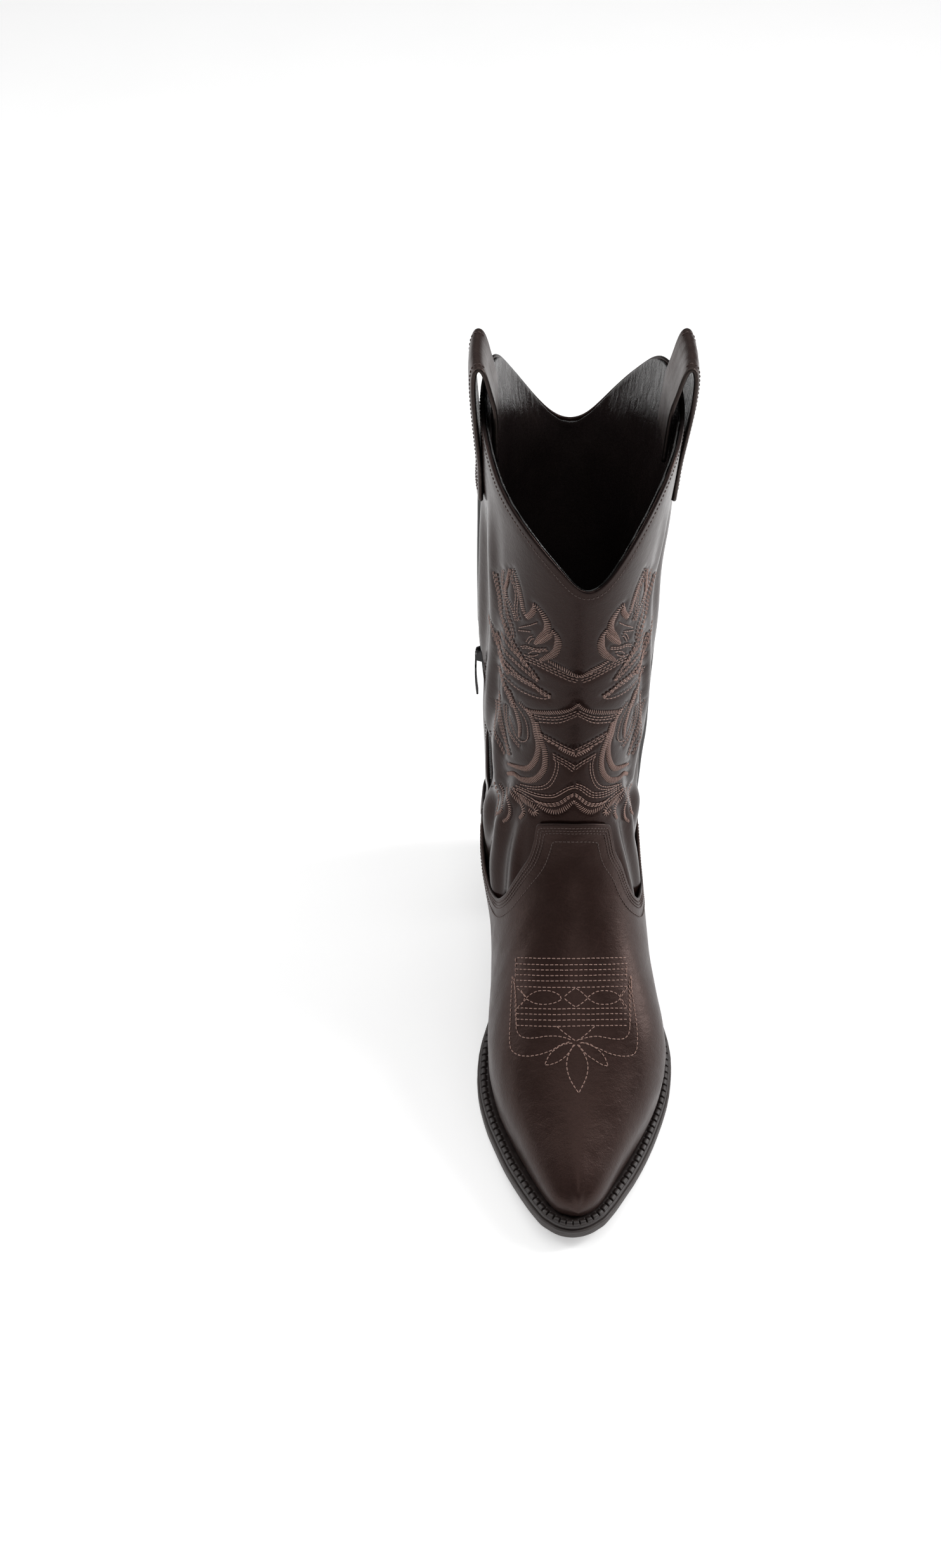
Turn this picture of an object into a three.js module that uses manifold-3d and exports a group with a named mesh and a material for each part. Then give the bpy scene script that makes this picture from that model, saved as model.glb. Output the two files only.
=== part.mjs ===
// Western (cowboy) boot for the left foot, zip on the inner side. Millimetres, +Z up.
// The toe points to -Y, the outer (lateral) side is +X and the inner (medial) side with the zip is -X.
// The boot is laid out in its own last coordinates first: x across, f forward from the heel, z up from the ground.
import * as THREE from 'three';
import Module from 'manifold-3d';

// ---------------------------------------------------------------- driving dimensions
const CENTRE_X = 0.61;        // x of the middle of the boot's box
const CENTRE_F = 136.04;       // f of the middle of the boot's box
const LEATHER_T = 1.6;        // shaft leather
const OVERLAY = [0.35, 1.75]; // vamp and heel cover lie over the shaft leather: inner and outer offset at the feather
const OVERLAY_LIFT = 0.8;     // extra lift of their upper edges, where the shaft leather runs under them
const LINING = [3.0, 4.0];    // shaft lining, depth of its two faces
const FOOT_LINING = [1.35, 2.3];
const TAPE = [2.0, 2.6];      // zip tape depth
const GUARD = [6.2, 7.2];     // zip guard depth
const SEAM_GAP = 0.4;        // half gap between two panels that meet edge to edge
const ZIP_HALF_OPENING = 5.3; // half width of the slot between the leather edges along the zip
const WELT_TOP = 2.1, WELT_T = 3.0, SOLE_DROP = 11.2, HEEL_SOLE_DROP = 8.2, GAP = 0.3;
const HEEL_CAP_T = 6.0;
const STRAP_W = 30, STRAP_T = 2.2;
const ZIP_Z0 = 101, ZIP_Z1 = 214, SLIDER_Z = 199.5;

// ---------------------------------------------------------------- the last: 24 slanted sections from toe tip to top line
// front point f, z | bottom or back point f, z | half width medial, lateral | half width at the feather | place of widest | x of front, x of bottom
const TAB = [
  [274, 21, 273.5, 18.5, 0, 0, 0, 0, 0.6, 1.3, 1.3],
  [271.5, 28.5, 271, 17.8, 8.45, 5.79, 7.51, 5.14, 0.62, 1.2, 1.2],
  [264.5, 34.5, 265, 16.8, 13.92, 11.82, 12.57, 10.68, 0.62, 1.05, 1.05],
  [252, 40, 253, 15.3, 20, 18.74, 18.67, 17.52, 0.62, 0.9, 0.9],
  [234, 47.5, 236, 13.2, 27.5, 28.18, 26.17, 26.86, 0.62, 0.96, 0.96],
  [212, 58.5, 215, 11.2, 36, 39.17, 34.15, 36.79, 0.64, 1.02, 1.02],
  [190, 72, 191, 10.2, 41.27, 46.08, 38.84, 43.04, 0.66, 1.08, 1.08],
  [170, 86.5, 164, 12, 41, 44.5, 37.05, 41.08, 0.68, 0.73, 0.73],
  [153.5, 101.5, 136, 19.5, 38.31, 40.63, 31.38, 35.61, 0.68, 0.37, -0.03],
  [140.5, 116.5, 106, 30.5, 37.98, 38.65, 28.6, 32.5, 0.66, 0.02, -1.18],
  [131.5, 132, 75, 39.5, 40.99, 37.45, 31, 29, 0.62, -0.34, -2.34],
  [126, 147.5, 45, 44.5, 41.69, 36.69, 29.5, 27, 0.58, -0.35, -2.55],
  [122.5, 162, 20, 47, 41, 36.24, 24.5, 23, 0.56, -0.36, -2.56],
  [120.5, 176, 7.5, 48.4, 41.38, 36.9, 0, 0, 0.54, -0.37, -2.57],
  [119.5, 188, 3, 64, 41.74, 37.6, 0, 0, 0.53, -0.38, -2.58],
  [119.5, 199, 4, 84, 42.07, 38.39, 0, 0, 0.52, -0.45, -2.55],
  [120, 211, 8.5, 110, 42.22, 38.39, 0, 0, 0.51, -0.51, -2.51],
  [121, 225, 9.5, 140, 42.89, 38.44, 0, 0, 0.5, -0.58, -2.48],
  [122.5, 241, 6, 175, 43.94, 39.06, 0, 0, 0.5, -0.64, -2.44],
  [124.5, 259, 1, 210, 44.31, 39.38, 0, 0, 0.5, -0.99, -2.49],
  [127, 279, -4, 246, 44.32, 39.49, 0, 0, 0.5, -1.34, -2.54],
  [130, 301, -8.5, 282, 44.02, 42.2, 0, 0, 0.5, -1.69, -2.49],
  [133, 325, -12.5, 317, 43.51, 45.2, 0, 0, 0.5, -2.67, -3.07],
  [136, 350, -16, 350, 43.5, 48, 0, 0, 0.5, -3.65, -3.65]
];
const HANDLE_TOP = [0.60, 0.60, 0.60, 0.60, 0.60, 0.60, 0.60, 0.58, 0.56, 0.55, 0.55, 0.55, 0.55, 0.55, 0.55, 0.55, 0.55, 0.55, 0.55, 0.55, 0.55, 0.55, 0.55, 0.55];
const HANDLE_UP = [0.55, 0.55, 0.55, 0.55, 0.56, 0.58, 0.58, 0.58, 0.56, 0.55, 0.55, 0.55, 0.55, 0.55, 0.55, 0.55, 0.55, 0.55, 0.55, 0.55, 0.55, 0.55, 0.55, 0.55];
const HANDLE_DOWN = [0.50, 0.50, 0.50, 0.50, 0.50, 0.50, 0.50, 0.50, 0.50, 0.52, 0.52, 0.54, 0.55, 0.55, 0.55, 0.55, 0.55, 0.55, 0.55, 0.55, 0.55, 0.55, 0.55, 0.55];
const HANDLE_BOTTOM = HANDLE_DOWN;
const NS = TAB.length - 1;

const clamp = (v, a, b) => Math.min(b, Math.max(a, v));
function spline(y) {
  const n = y.length, a = new Array(n).fill(0), b = new Array(n).fill(1), c = new Array(n).fill(0), r = new Array(n).fill(0);
  for (let i = 1; i < n - 1; i++) { a[i] = 1; b[i] = 4; c[i] = 1; r[i] = 6 * (y[i + 1] - 2 * y[i] + y[i - 1]); }
  for (let i = 1; i < n; i++) { const w = a[i] / b[i - 1]; b[i] -= w * c[i - 1]; r[i] -= w * r[i - 1]; }
  const m = new Array(n).fill(0); m[n - 1] = r[n - 1] / b[n - 1];
  for (let i = n - 2; i >= 0; i--) m[i] = (r[i] - c[i] * m[i + 1]) / b[i];
  return (x) => { const i = clamp(Math.floor(x), 0, n - 2), t = x - i, q = 1 - t; return q * y[i] + t * y[i + 1] + ((q * q * q - q) * m[i] + (t * t * t - t) * m[i + 1]) / 6; };
}
const COL = TAB[0].map((_, j) => spline(TAB.map((r) => r[j])));
const [Tf, Tz, Bf, Bz, WM, WL, BM, BL, TM, XT, XB] = COL;
const HT = spline(HANDLE_TOP), HU = spline(HANDLE_UP), HD = spline(HANDLE_DOWN), HF = spline(HANDLE_BOTTOM);
const bez = (a, b, c, d, t) => (1 - t) ** 3 * a + 3 * (1 - t) ** 2 * t * b + 3 * (1 - t) * t * t * c + t ** 3 * d;

// point of the last: s runs from the toe tip (0) to the top (23); phi is 0 at the front, +1 / -1 at the widest place, +2 / -2 at the feather or back centre
function P(s, phi) {
  if (phi > 2) phi -= 4;
  if (phi < -2) phi += 4;
  const side = phi >= 0 ? 1 : -1, a = Math.abs(phi), tm = TM(s);
  let b = side > 0 ? BL(s) : BM(s);
  if (s > 12) { const u = clamp(s - 12, 0, 1); b = ((side > 0 ? TAB[12][7] : TAB[12][6]) - 3 * u) * Math.sqrt(Math.max(1 - u * u, 0)); }
  b = Math.max(b, 0);
  const w = Math.max(side > 0 ? WL(s) : WM(s), 0);
  let x, t;
  if (a <= 1) { x = bez(0, HT(s) * w, w, w, a); t = bez(0, 0, tm * (1 - HU(s)), tm, a); }
  else { const v = a - 1; x = bez(w, w, b + HF(s) * (w - b), b, v); t = bez(tm, tm + HD(s) * (1 - tm), 1, 1, v); }
  return new THREE.Vector3(side * x + XT(s) + (XB(s) - XT(s)) * t, Tf(s) + (Bf(s) - Tf(s)) * t, Tz(s) + (Bz(s) - Tz(s)) * t);
}
// outward normal
function normal(s, phi) {
  const h = 2e-3, up = s > NS - h ? 0 : h, dn = s < h ? 0 : h;
  const ds = P(s + up, phi).sub(P(s - dn, phi));
  let p0 = phi - h, p1 = phi + h;
  if (s < 13.02) { p0 = clamp(p0, -2, 2); p1 = clamp(p1, -2, 2); }
  return ds.cross(P(s, p1).sub(P(s, p0))).normalize();
}
const atOffset = (s, phi, d) => P(s, phi).addScaledVector(normal(s, phi), d);
// distance from the side seam gained per unit of phi (the seam leans by SEAM_LEAN)
const SEAM_LEAN = 0.0711;
const perPhi = (s, phi) => { const d = P(s, phi + 1e-3).sub(P(s, phi - 1e-3)); return Math.abs(d.y + SEAM_LEAN * d.z) / 2e-3; };

// smooth curve through a table of [x, y]
function curve(pts) {
  const n = pts.length, m = [];
  for (let i = 0; i < n; i++) {
    const a = pts[Math.max(i - 1, 0)], b = pts[Math.min(i + 1, n - 1)];
    m.push((b[1] - a[1]) / (b[0] - a[0]));
    if (i > 0 && i < n - 1 && (b[1] - pts[i][1]) * (pts[i][1] - a[1]) <= 0) m[i] = 0;
  }
  return (x) => {
    if (x <= pts[0][0]) return pts[0][1];
    if (x >= pts[n - 1][0]) return pts[n - 1][1];
    let i = 0; while (x > pts[i + 1][0]) i++;
    const h = pts[i + 1][0] - pts[i][0], t = (x - pts[i][0]) / h, t2 = t * t, t3 = t2 * t;
    return (2 * t3 - 3 * t2 + 1) * pts[i][1] + (t3 - 2 * t2 + t) * h * m[i] + (-2 * t3 + 3 * t2) * pts[i + 1][1] + (t3 - t2) * h * m[i + 1];
  };
}
const step = (a, b, x) => { const t = clamp((x - a) / (b - a), 0, 1); return t * t * (3 - 2 * t); };

// ---------------------------------------------------------------- piece outlines on the last
// top line of the shaft: deep scoop at the front, ears at the sides, shallow scoop at the back
const topL = curve([[0, 20.66], [0.04, 20.64], [0.15, 20.83], [0.29, 21.42], [0.42, 21.95], [0.6, 22.49], [0.8, 22.78], [1, 22.92], [1.15, 22.95], [1.35, 22.82], [1.52, 22.33], [1.77, 21.56], [1.88, 21.28], [1.95, 21.19], [2, 21.17]]);
const topM = curve([[0, 20.66], [0.06, 20.86], [0.16, 21.27], [0.38, 21.89], [0.64, 22.35], [0.8, 22.66], [1, 22.9], [1.15, 22.95], [1.34, 22.87], [1.49, 22.42], [1.72, 21.68], [1.86, 21.32], [1.95, 21.19], [2, 21.17]]);
const topLine = (phi) => { const q = phi > 2 ? phi - 4 : phi; return q >= 0 ? topL(q) : topM(-q); };
// side seam, a straight line in the side view from the heel breast to the ear
const seam = curve([[9, 1.05], [10.6, 1.048], [11.188, 1.02], [11.453, 0.976], [11.91, 0.921], [12.9, 0.873], [14.26, 0.869], [15.7, 0.922], [16.8, 0.969], [17.65, 0.982], [18.43, 0.984], [19.19, 0.988], [20.6, 1.001], [21.97, 1.019], [22.83, 1.031], [23, 1.034]]);
// vamp edge: tongue at the front, valley at each side, point at the side seam, then down to the feather
const vampL = curve([[0, 10.68], [0.27, 10.72], [0.31, 10.66], [0.335, 10.3], [0.36, 9.9], [0.44, 9.5], [0.5, 9.1], [0.56, 8.94], [0.63, 8.92], [0.74, 9.2], [0.88, 9.74], [0.95, 10.5], [0.985, 11.4]]);
const vampM = curve([[0, 10.68], [0.22, 10.72], [0.26, 10.66], [0.28, 10.2], [0.33, 9.75], [0.41, 9.46], [0.53, 9.16], [0.61, 9.02], [0.68, 9.0], [0.8, 9.2], [0.91, 9.75], [0.955, 10.5], [0.985, 11.4]]);
const TIP = 0.985;
const rearS = (a) => 11.4 - 1.55 * (a - TIP) / (2 - TIP);
const vampLine = (phi) => { const a = Math.abs(phi); return a > TIP ? rearS(a) : (phi >= 0 ? vampL(a) : vampM(a)); };
// lower and upper edges hidden in the layers: the shaft leather ends under the vamp and heel cover, the linings meet below the ankle
const footLine = curve([[0, 8.12], [0.55, 8.08], [0.75, 8.3], [0.9, 9.3], [1, 10.3], [1.06, 10.85]]);
const footEdge = (phi) => { const a = Math.abs(phi); return a < 1.06 ? footLine(a) : 10.85 - 1.65 * (a - 1.06) / 0.94; };
const frontLow = curve([[0, 9.9], [0.3, 9.4], [0.45, 8.7], [0.62, 8.3], [0.8, 8.6], [0.9, 9.2], [1, 10.1], [1.05, 10.6]]);
const backLow = curve([[1.05, 10.6], [1.198, 11.05], [1.275, 11.317], [1.352, 11.61], [1.405, 12.015], [1.431, 12.685], [1.497, 13.374], [1.593, 13.965], [1.688, 14.479], [1.85, 14.72], [2, 14.78]]);
const heelTop = [[11.5, 0.985], [11.678, 1.042], [11.92, 1.111], [12.381, 1.184], [13.04, 1.265], [13.607, 1.36], [14.178, 1.467], [14.837, 1.604], [15.335, 1.759], [15.5, 1.88], [15.55, 2]];
const stiffTop = [[10.7, 1.25], [10.95, 1.28], [11.24, 1.307], [11.523, 1.386], [11.899, 1.44], [12.505, 1.458], [13.245, 1.507], [13.842, 1.597], [14.342, 1.686], [14.5, 1.84], [14.55, 2]];
const liningJoin = [[11.195, 1.085], [11.347, 1.124], [11.552, 1.196], [11.887, 1.269], [12.428, 1.323], [13.137, 1.386], [13.718, 1.477], [14.332, 1.589], [14.866, 1.707], [15.05, 1.85], [15.1, 2]];
const liningBackLow = curve(liningJoin.map(([a, b]) => [b, a]));

// ---------------------------------------------------------------- solids
function toGeometry(points, tris) {
  const pos = new Float32Array(points.length * 3);
  points.forEach((p, i) => { pos[3 * i] = p.x - CENTRE_X; pos[3 * i + 1] = CENTRE_F - p.y; pos[3 * i + 2] = p.z; });
  let v = 0;
  const A = new THREE.Vector3(), B = new THREE.Vector3(), C = new THREE.Vector3();
  for (const [a, b, c] of tris) { A.fromArray(pos, 3 * a); B.fromArray(pos, 3 * b); C.fromArray(pos, 3 * c); v += A.dot(B.cross(C)); }
  const idx = []; for (const [a, b, c] of tris) idx.push(...(v > 0 ? [a, b, c] : [a, c, b]));
  const g = new THREE.BufferGeometry();
  g.setAttribute('position', new THREE.BufferAttribute(pos, 3)); g.setIndex(idx);
  return g;
}
// closed shell between an outer and an inner face over a patch: nodes [outer Vector3, inner Vector3], quads of node ids
function shell(nodes, tris) {
  const id = new Map(), map = [], keep = [];
  const key = (p) => `${p.x.toFixed(3)},${p.y.toFixed(3)},${p.z.toFixed(3)}`;
  nodes.forEach((nd, i) => { const k = key(nd[0]) + '|' + key(nd[1]); if (!id.has(k)) { id.set(k, keep.length); keep.push(nd); } map[i] = id.get(k); });
  const T = tris.map((t) => t.map((i) => map[i])).filter(([a, b, c]) => a !== b && b !== c && a !== c);
  const n = keep.length, pts = keep.map((k) => k[0]).concat(keep.map((k) => k[1])), out = [];
  const edges = new Set(); for (const [a, b, c] of T) { edges.add(`${a}_${b}`); edges.add(`${b}_${c}`); edges.add(`${c}_${a}`); }
  for (const [a, b, c] of T) { out.push([a, b, c]); out.push([a + n, c + n, b + n]); }
  for (const [a, b, c] of T) for (const [p, q] of [[a, b], [b, c], [c, a]]) if (!edges.has(`${q}_${p}`)) { out.push([p, p + n, q]); out.push([q, p + n, q + n]); }
  return toGeometry(pts, out);
}
function gridTris(cols, rows) {
  const t = [], id = (i, j) => i * rows + j;
  for (let i = 0; i + 1 < cols; i++) for (let j = 0; j + 1 < rows; j++) { t.push([id(i, j), id(i + 1, j), id(i + 1, j + 1)]); t.push([id(i, j), id(i + 1, j + 1), id(i, j + 1)]); }
  return t;
}
// patch given as columns of [s, phi]; depth functions give the offset of each face
function leather(columns, outer, inner) {
  const nodes = [];
  for (const col of columns) for (const [s, phi, extra] of col) {
    const o = typeof outer === 'function' ? outer(s, phi, extra) : outer, i = typeof inner === 'function' ? inner(s, phi, extra) : inner;
    nodes.push([atOffset(s, phi, o), atOffset(s, phi, i)]);
  }
  return shell(nodes, gridTris(columns.length, columns[0].length));
}
const lin = (a, b, n) => Array.from({ length: n + 1 }, (_, i) => a + (b - a) * i / n);
const rowsBetween = (lo, hi, n, phiOf) => lin(0, 1, n).map((v) => { const s = lo + (hi - lo) * v; return [s, phiOf(s), v]; });

// boards and blocks: levels of rows {f, xl, xr, z}, ruled straight across the boot
function ruled(levels) {
  const pts = [], m = levels[0].length, id = (k, i, side) => (k * m + i) * 2 + side;
  for (const L of levels) for (const r of L) { pts.push(new THREE.Vector3(r.xl, r.f, r.zl ?? r.z), new THREE.Vector3(r.xr, r.f2 ?? r.f, r.zr ?? r.z)); }
  const tris = [], K = levels.length - 1;
  for (let i = 0; i + 1 < m; i++) {
    tris.push([id(0, i, 0), id(0, i, 1), id(0, i + 1, 1)], [id(0, i, 0), id(0, i + 1, 1), id(0, i + 1, 0)]);
    tris.push([id(K, i, 0), id(K, i + 1, 1), id(K, i, 1)], [id(K, i, 0), id(K, i + 1, 0), id(K, i + 1, 1)]);
  }
  const loop = []; for (let i = 0; i < m; i++) loop.push([i, 0]); for (let i = m - 1; i >= 0; i--) loop.push([i, 1]);
  for (let k = 0; k < K; k++) for (let j = 0; j < loop.length; j++) {
    const [a, sa] = loop[j], [b, sb] = loop[(j + 1) % loop.length];
    tris.push([id(k, a, sa), id(k, b, sb), id(k + 1, b, sb)], [id(k, a, sa), id(k + 1, b, sb), id(k + 1, a, sa)]);
  }
  const key = (p) => `${p.x.toFixed(3)},${p.y.toFixed(3)},${p.z.toFixed(3)}`, map = new Map(), keep = [], idx = pts.map((p) => { const q = key(p); if (!map.has(q)) { map.set(q, keep.length); keep.push(p); } return map.get(q); });
  return toGeometry(keep, tris.map((t) => t.map((i) => idx[i])).filter(([a, b, c]) => a !== b && b !== c && a !== c));
}

// ---------------------------------------------------------------- joining and cutting
const wasm = await Module(); wasm.setup();
function solid(g) {
  const src = g.index ? g : g, p = src.attributes.position, map = new Map(), verts = [], ids = [];
  for (let i = 0; i < p.count; i++) { const k = `${p.getX(i).toFixed(4)},${p.getY(i).toFixed(4)},${p.getZ(i).toFixed(4)}`; if (!map.has(k)) { map.set(k, verts.length / 3); verts.push(p.getX(i), p.getY(i), p.getZ(i)); } ids.push(map.get(k)); }
  const idx = g.index ? Array.from(g.index.array) : ids.map((_, i) => i), tri = [];
  for (let i = 0; i < idx.length; i += 3) { const a = ids[idx[i]], b = ids[idx[i + 1]], c = ids[idx[i + 2]]; if (a !== b && b !== c && a !== c) tri.push(a, b, c); }
  return new wasm.Manifold(new wasm.Mesh({ numProp: 3, vertProperties: new Float32Array(verts), triVerts: new Uint32Array(tri) }));
}
function unsolid(m) {
  const k = m.getMesh(), g = new THREE.BufferGeometry(), n = k.numProp, pos = new Float32Array(k.vertProperties.length / n * 3);
  for (let i = 0; i < pos.length / 3; i++) for (let j = 0; j < 3; j++) pos[3 * i + j] = k.vertProperties[n * i + j];
  g.setAttribute('position', new THREE.BufferAttribute(pos, 3)); g.setIndex(Array.from(k.triVerts));
  return g;
}
const X = (x) => x - CENTRE_X, Y = (f) => CENTRE_F - f;

// ---------------------------------------------------------------- scene graph
const boot = new THREE.Group();
function add(name, geometry, color, roughness = 0.5, metalness = 0, parent = boot) {
  const m = new THREE.Mesh(geometry, new THREE.MeshStandardMaterial({ color, roughness, metalness }));
  m.name = name; parent.add(m); return m;
}
const BROWN = 0x3a2724, BLACK = 0x141113, TAN = 0xa9825e, RUBBER = 0x1b1718, METAL = 0x2a2a2c;

// ---- upper: phi values of the columns over the foot, denser where the edge turns
const footPhi = [];
for (const a of [0, 0.14, 0.26, 0.3, 0.335, 0.38, 0.46, 0.54, 0.62, 0.72, 0.84, 0.93, 0.985, 1.1, 1.26, 1.44, 1.62, 1.81, 2]) { footPhi.push(a); if (a > 0) footPhi.unshift(-a); }
const toe = (s0, apex) => (phi, hi, n) => [[apex, 2, 0], ...lin(s0, hi, n).map((s) => [s, phi, 0])];
const lift = (s, phi) => OVERLAY_LIFT * step(7.4, 8.5, s) * (1 - step(1.3, 1.95, Math.abs(phi)));
{ // vamp
  const cols = footPhi.map((phi) => [[0, 2, 1], ...lin(0.35, 1, 2).concat(lin(1, vampLine(phi), 12).slice(1)).map((s) => [s, phi, 0])]);
  const nodes = [];
  for (const col of cols) for (const [s, phi, apex] of col) {
    if (apex) { const p = P(0, 2); nodes.push([p.clone().add(new THREE.Vector3(0, OVERLAY[1], 0)), p.clone().add(new THREE.Vector3(0, OVERLAY[0], 0))]); } else { const e = lift(s, phi); nodes.push([atOffset(s, phi, OVERLAY[1] + e), atOffset(s, phi, OVERLAY[0] + e)]); }
  }
  add('vamp', shell(nodes, gridTris(cols.length, cols[0].length)), BROWN, 0.5);
}
const linPhi = []; for (const a of [0, 0.14, 0.28, 0.42, 0.56, 0.7, 0.84, 1, 1.14, 1.28, 1.42, 1.56, 1.7, 1.85, 2]) { linPhi.push(a); if (a > 0) linPhi.unshift(-a); }
{ // vamp lining
  const d = (s) => step(6.2, 7.9, s), cols = linPhi.map((phi) => [[0.7, 2, 1], ...lin(1.1, footEdge(phi), 10).map((s) => [s, phi, 0])]), nodes = [];
  for (const col of cols) for (const [s, phi, apex] of col) {
    if (apex) { const p = P(0.7, 0).lerp(new THREE.Vector3((P(0.7, 2).x + P(0.7, -2).x) / 2, P(0.7, 2).y, P(0.7, 2).z), 0.7); nodes.push([p, p.clone().add(new THREE.Vector3(0, -1, 0))]); continue; }
    const o = FOOT_LINING[0] + (LINING[0] - FOOT_LINING[0]) * d(s), i = FOOT_LINING[1] + (LINING[1] - FOOT_LINING[1]) * d(s);
    nodes.push([atOffset(s, phi, -o), atOffset(s, phi, -i)]);
  }
  add('vamp_lining', shell(nodes, gridTris(cols.length, cols[0].length)), TAN, 0.8);
}
{ // toe puff between vamp and lining
  const cols = linPhi.map((phi) => lin(0.75, 3.5 - 0.25 * Math.abs(phi), 4).map((s) => [s, phi, 0]));
  add('toe_puff', leather(cols, -0.12, -0.72), 0xd8cfb8, 0.8);
}
// heel region: columns run from the feather up to a line over the heel, from one side seam round the back to the other
function heelColumns(bottom, top, n, rows, halfGap = 0) {
  const cols = [], us = lin(0, 1, n);
  for (const side of [-1, 1]) {
    const list = side < 0 ? us : us.slice(0, -1).reverse();
    for (const u of list) {
      const e = 1 - Math.pow(1 - u, 1.6), k = Math.min(u * (top.length - 1), top.length - 1.0001), i = Math.floor(k), t = k - i;
      const sb = bottom[0] + (bottom[1] - bottom[0]) * e, st = top[i][0] + (top[i + 1][0] - top[i][0]) * t, pt = top[i][1] + (top[i + 1][1] - top[i][1]) * t;
      cols.push(lin(0, 1, rows).map((v) => [sb + (st - sb) * v, side * (2 + (pt - 2) * v), v]));
    }
  }
  return cols;
}
add('counter', leather(heelColumns([9.93, 13.0], heelTop, 14, 8), (s, p, v) => OVERLAY[1] + 1.3 * OVERLAY_LIFT * Math.sqrt(v), (s, p, v) => OVERLAY[0] + 1.3 * OVERLAY_LIFT * Math.sqrt(v)), BROWN, 0.5);
add('heel_stiffener', leather(heelColumns([10.0, 13.0], stiffTop, 14, 8), -1.15, -2.05), 0xcbb894, 0.85);
add('heel_lining', leather(heelColumns([9.35, 13.0], liningJoin.map(([a, b]) => [a - 0.14, b]), 12, 6), (s, p, v) => -(2.6 + 1.2 * v), (s, p, v) => -(3.6 + 1.2 * v)), TAN, 0.8);

// ---- shaft panels, split at the side seams; on the inner side the slot of the zip
const SLOT_TOP = [18.1, 18.3];
const zipSlot = (s) => ZIP_HALF_OPENING * (1 - clamp((s - SLOT_TOP[0]) / (SLOT_TOP[1] - SLOT_TOP[0]), 0, 1));
const edgePhi = (s, side, front, extra = 0) => {
  const p = seam(s), half = SEAM_GAP + extra + (side < 0 ? zipSlot(s) : 0);
  return side * (p + (front ? -1 : 1) * half / perPhi(s, side * p));
};
// rows of a panel: closer together low down, with two rows exactly at the end of the slot
function rowFractions(lo, hi, n) {
  const a = SLOT_TOP.map((s) => (s - lo) / (hi - lo));
  const vs = lin(0, 1, n).map((v) => Math.pow(v, 1.2)).filter((v) => a.every((q) => Math.abs(q - v) > 0.02));
  return vs.concat(a).sort((p, q) => p - q);
}
// a panel from the front centre (or back centre) to both side seams; q is -1 and +1 at the seams
function panel(front, lowFn, d0, d1, cols, rows, drop = 0) {
  const phiAt = (s, q) => { // signed phi of column q at height s
    const side = front ? (q < 0 ? -1 : 1) : (q < 0 ? 1 : -1), e = Math.abs(edgePhi(s, side, front));
    return side * (front ? Math.abs(q) * e : e + (2 - e) * (1 - Math.abs(q)));
  };
  const low = (q) => { let s = 12; for (let i = 0; i < 60; i++) s += 0.4 * (lowFn(Math.abs(phiAt(s, q))) - s); return s; };
  const high = (q) => topLine(phiAt(22.5, q)) - drop, qm = front ? -1 : 1;
  const vs = rowFractions(low(qm), high(qm), rows);
  const columns = lin(-1, 1, cols).map((q) => { const lo = low(q), hi = high(q); return vs.map((v) => { const s = lo + (hi - lo) * v; return [s, phiAt(s, q), v]; }); });
  return leather(columns, -d0, -d1);
}
add('shaft_front', panel(true, frontLow, 0, LEATHER_T, 22, 15), BROWN, 0.45);
add('shaft_back', panel(false, backLow, 0, LEATHER_T, 22, 13), BROWN, 0.45);
add('shaft_lining_front', panel(true, (a) => footEdge(Math.min(a, 1.06)) + 0.3, LINING[0], LINING[1], 18, 13, 0.06), BLACK, 0.4);
add('shaft_lining_back', panel(false, liningBackLow, LINING[0], LINING[1], 18, 11, 0.06), BLACK, 0.4);

// ---- piping over the side seams
function alongSeam(side, s0, s1, n, w0, w1, m = 2) { // strip from w0 to w1 mm beside the seam
  return lin(0, 1, m).map((k) => lin(s0, s1, n).map((s) => { const p = seam(s); return [s, side * p + (w0 + (w1 - w0) * k) / perPhi(s, side * p), k]; }));
}
add('side_piping_lateral', leather(alongSeam(1, 11.75, 21.15, 18, -1.6, 1.6), 2.0, 0.8), BLACK, 0.45);
add('side_piping_medial', leather(alongSeam(-1, 18.5, 21.15, 8, -1.6, 1.6), 2.0, 0.8), BLACK, 0.45);

// ---- pull straps: a leather band folded over at the top of each ear
function strap(side) {
  const wall = (z) => { // x of the leather at the side seam
    let lo = 17, hi = 23; for (let i = 0; i < 40; i++) { const m = (lo + hi) / 2; if (P(m, side * seam(m)).z < z) lo = m; else hi = m; }
    return P(lo, side * seam(lo)).x;
  };
  const xr = wall(347);
  const path = [[304, 1.6], [312, 1.6], [322, 1.7], [332, 2.5], [342, 3.9], [352, 4.9], [360, 5.4], [366, 5.3], [370.2, 4.2], [371.6, 2.2], [370.4, 0.2], [366, -1.5], [360, -2.9], [354, -4.6], [349, -5.7], [342, -5.8], [334, -5.8], [325, -5.8]]
    .map(([z, e]) => new THREE.Vector2((z < 347 ? wall(z) : xr + (wall(347) - wall(343)) / 4 * Math.min(z - 347, 3)) + side * e, z));
  const c = 56.4, ws = lin(-STRAP_W / 2, STRAP_W / 2, 6), cols = [];
  const nodes = [];
  for (const w of ws) for (let i = 0; i < path.length; i++) {
    const a = path[Math.max(i - 1, 0)], b = path[Math.min(i + 1, path.length - 1)], t = b.clone().sub(a).normalize(), n = new THREE.Vector2(t.y, -t.x);
    const sag = -side * w * w / 230, f = c + w + (347 - path[i].y) * 0.0711;
    nodes.push([new THREE.Vector3(path[i].x + n.x * STRAP_T / 2 + sag, f, path[i].y + n.y * STRAP_T / 2), new THREE.Vector3(path[i].x - n.x * STRAP_T / 2 + sag, f, path[i].y - n.y * STRAP_T / 2)]);
  }
  return shell(nodes, gridTris(ws.length, path.length));
}
add('pull_strap_lateral', strap(1), BROWN, 0.5);
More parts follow.
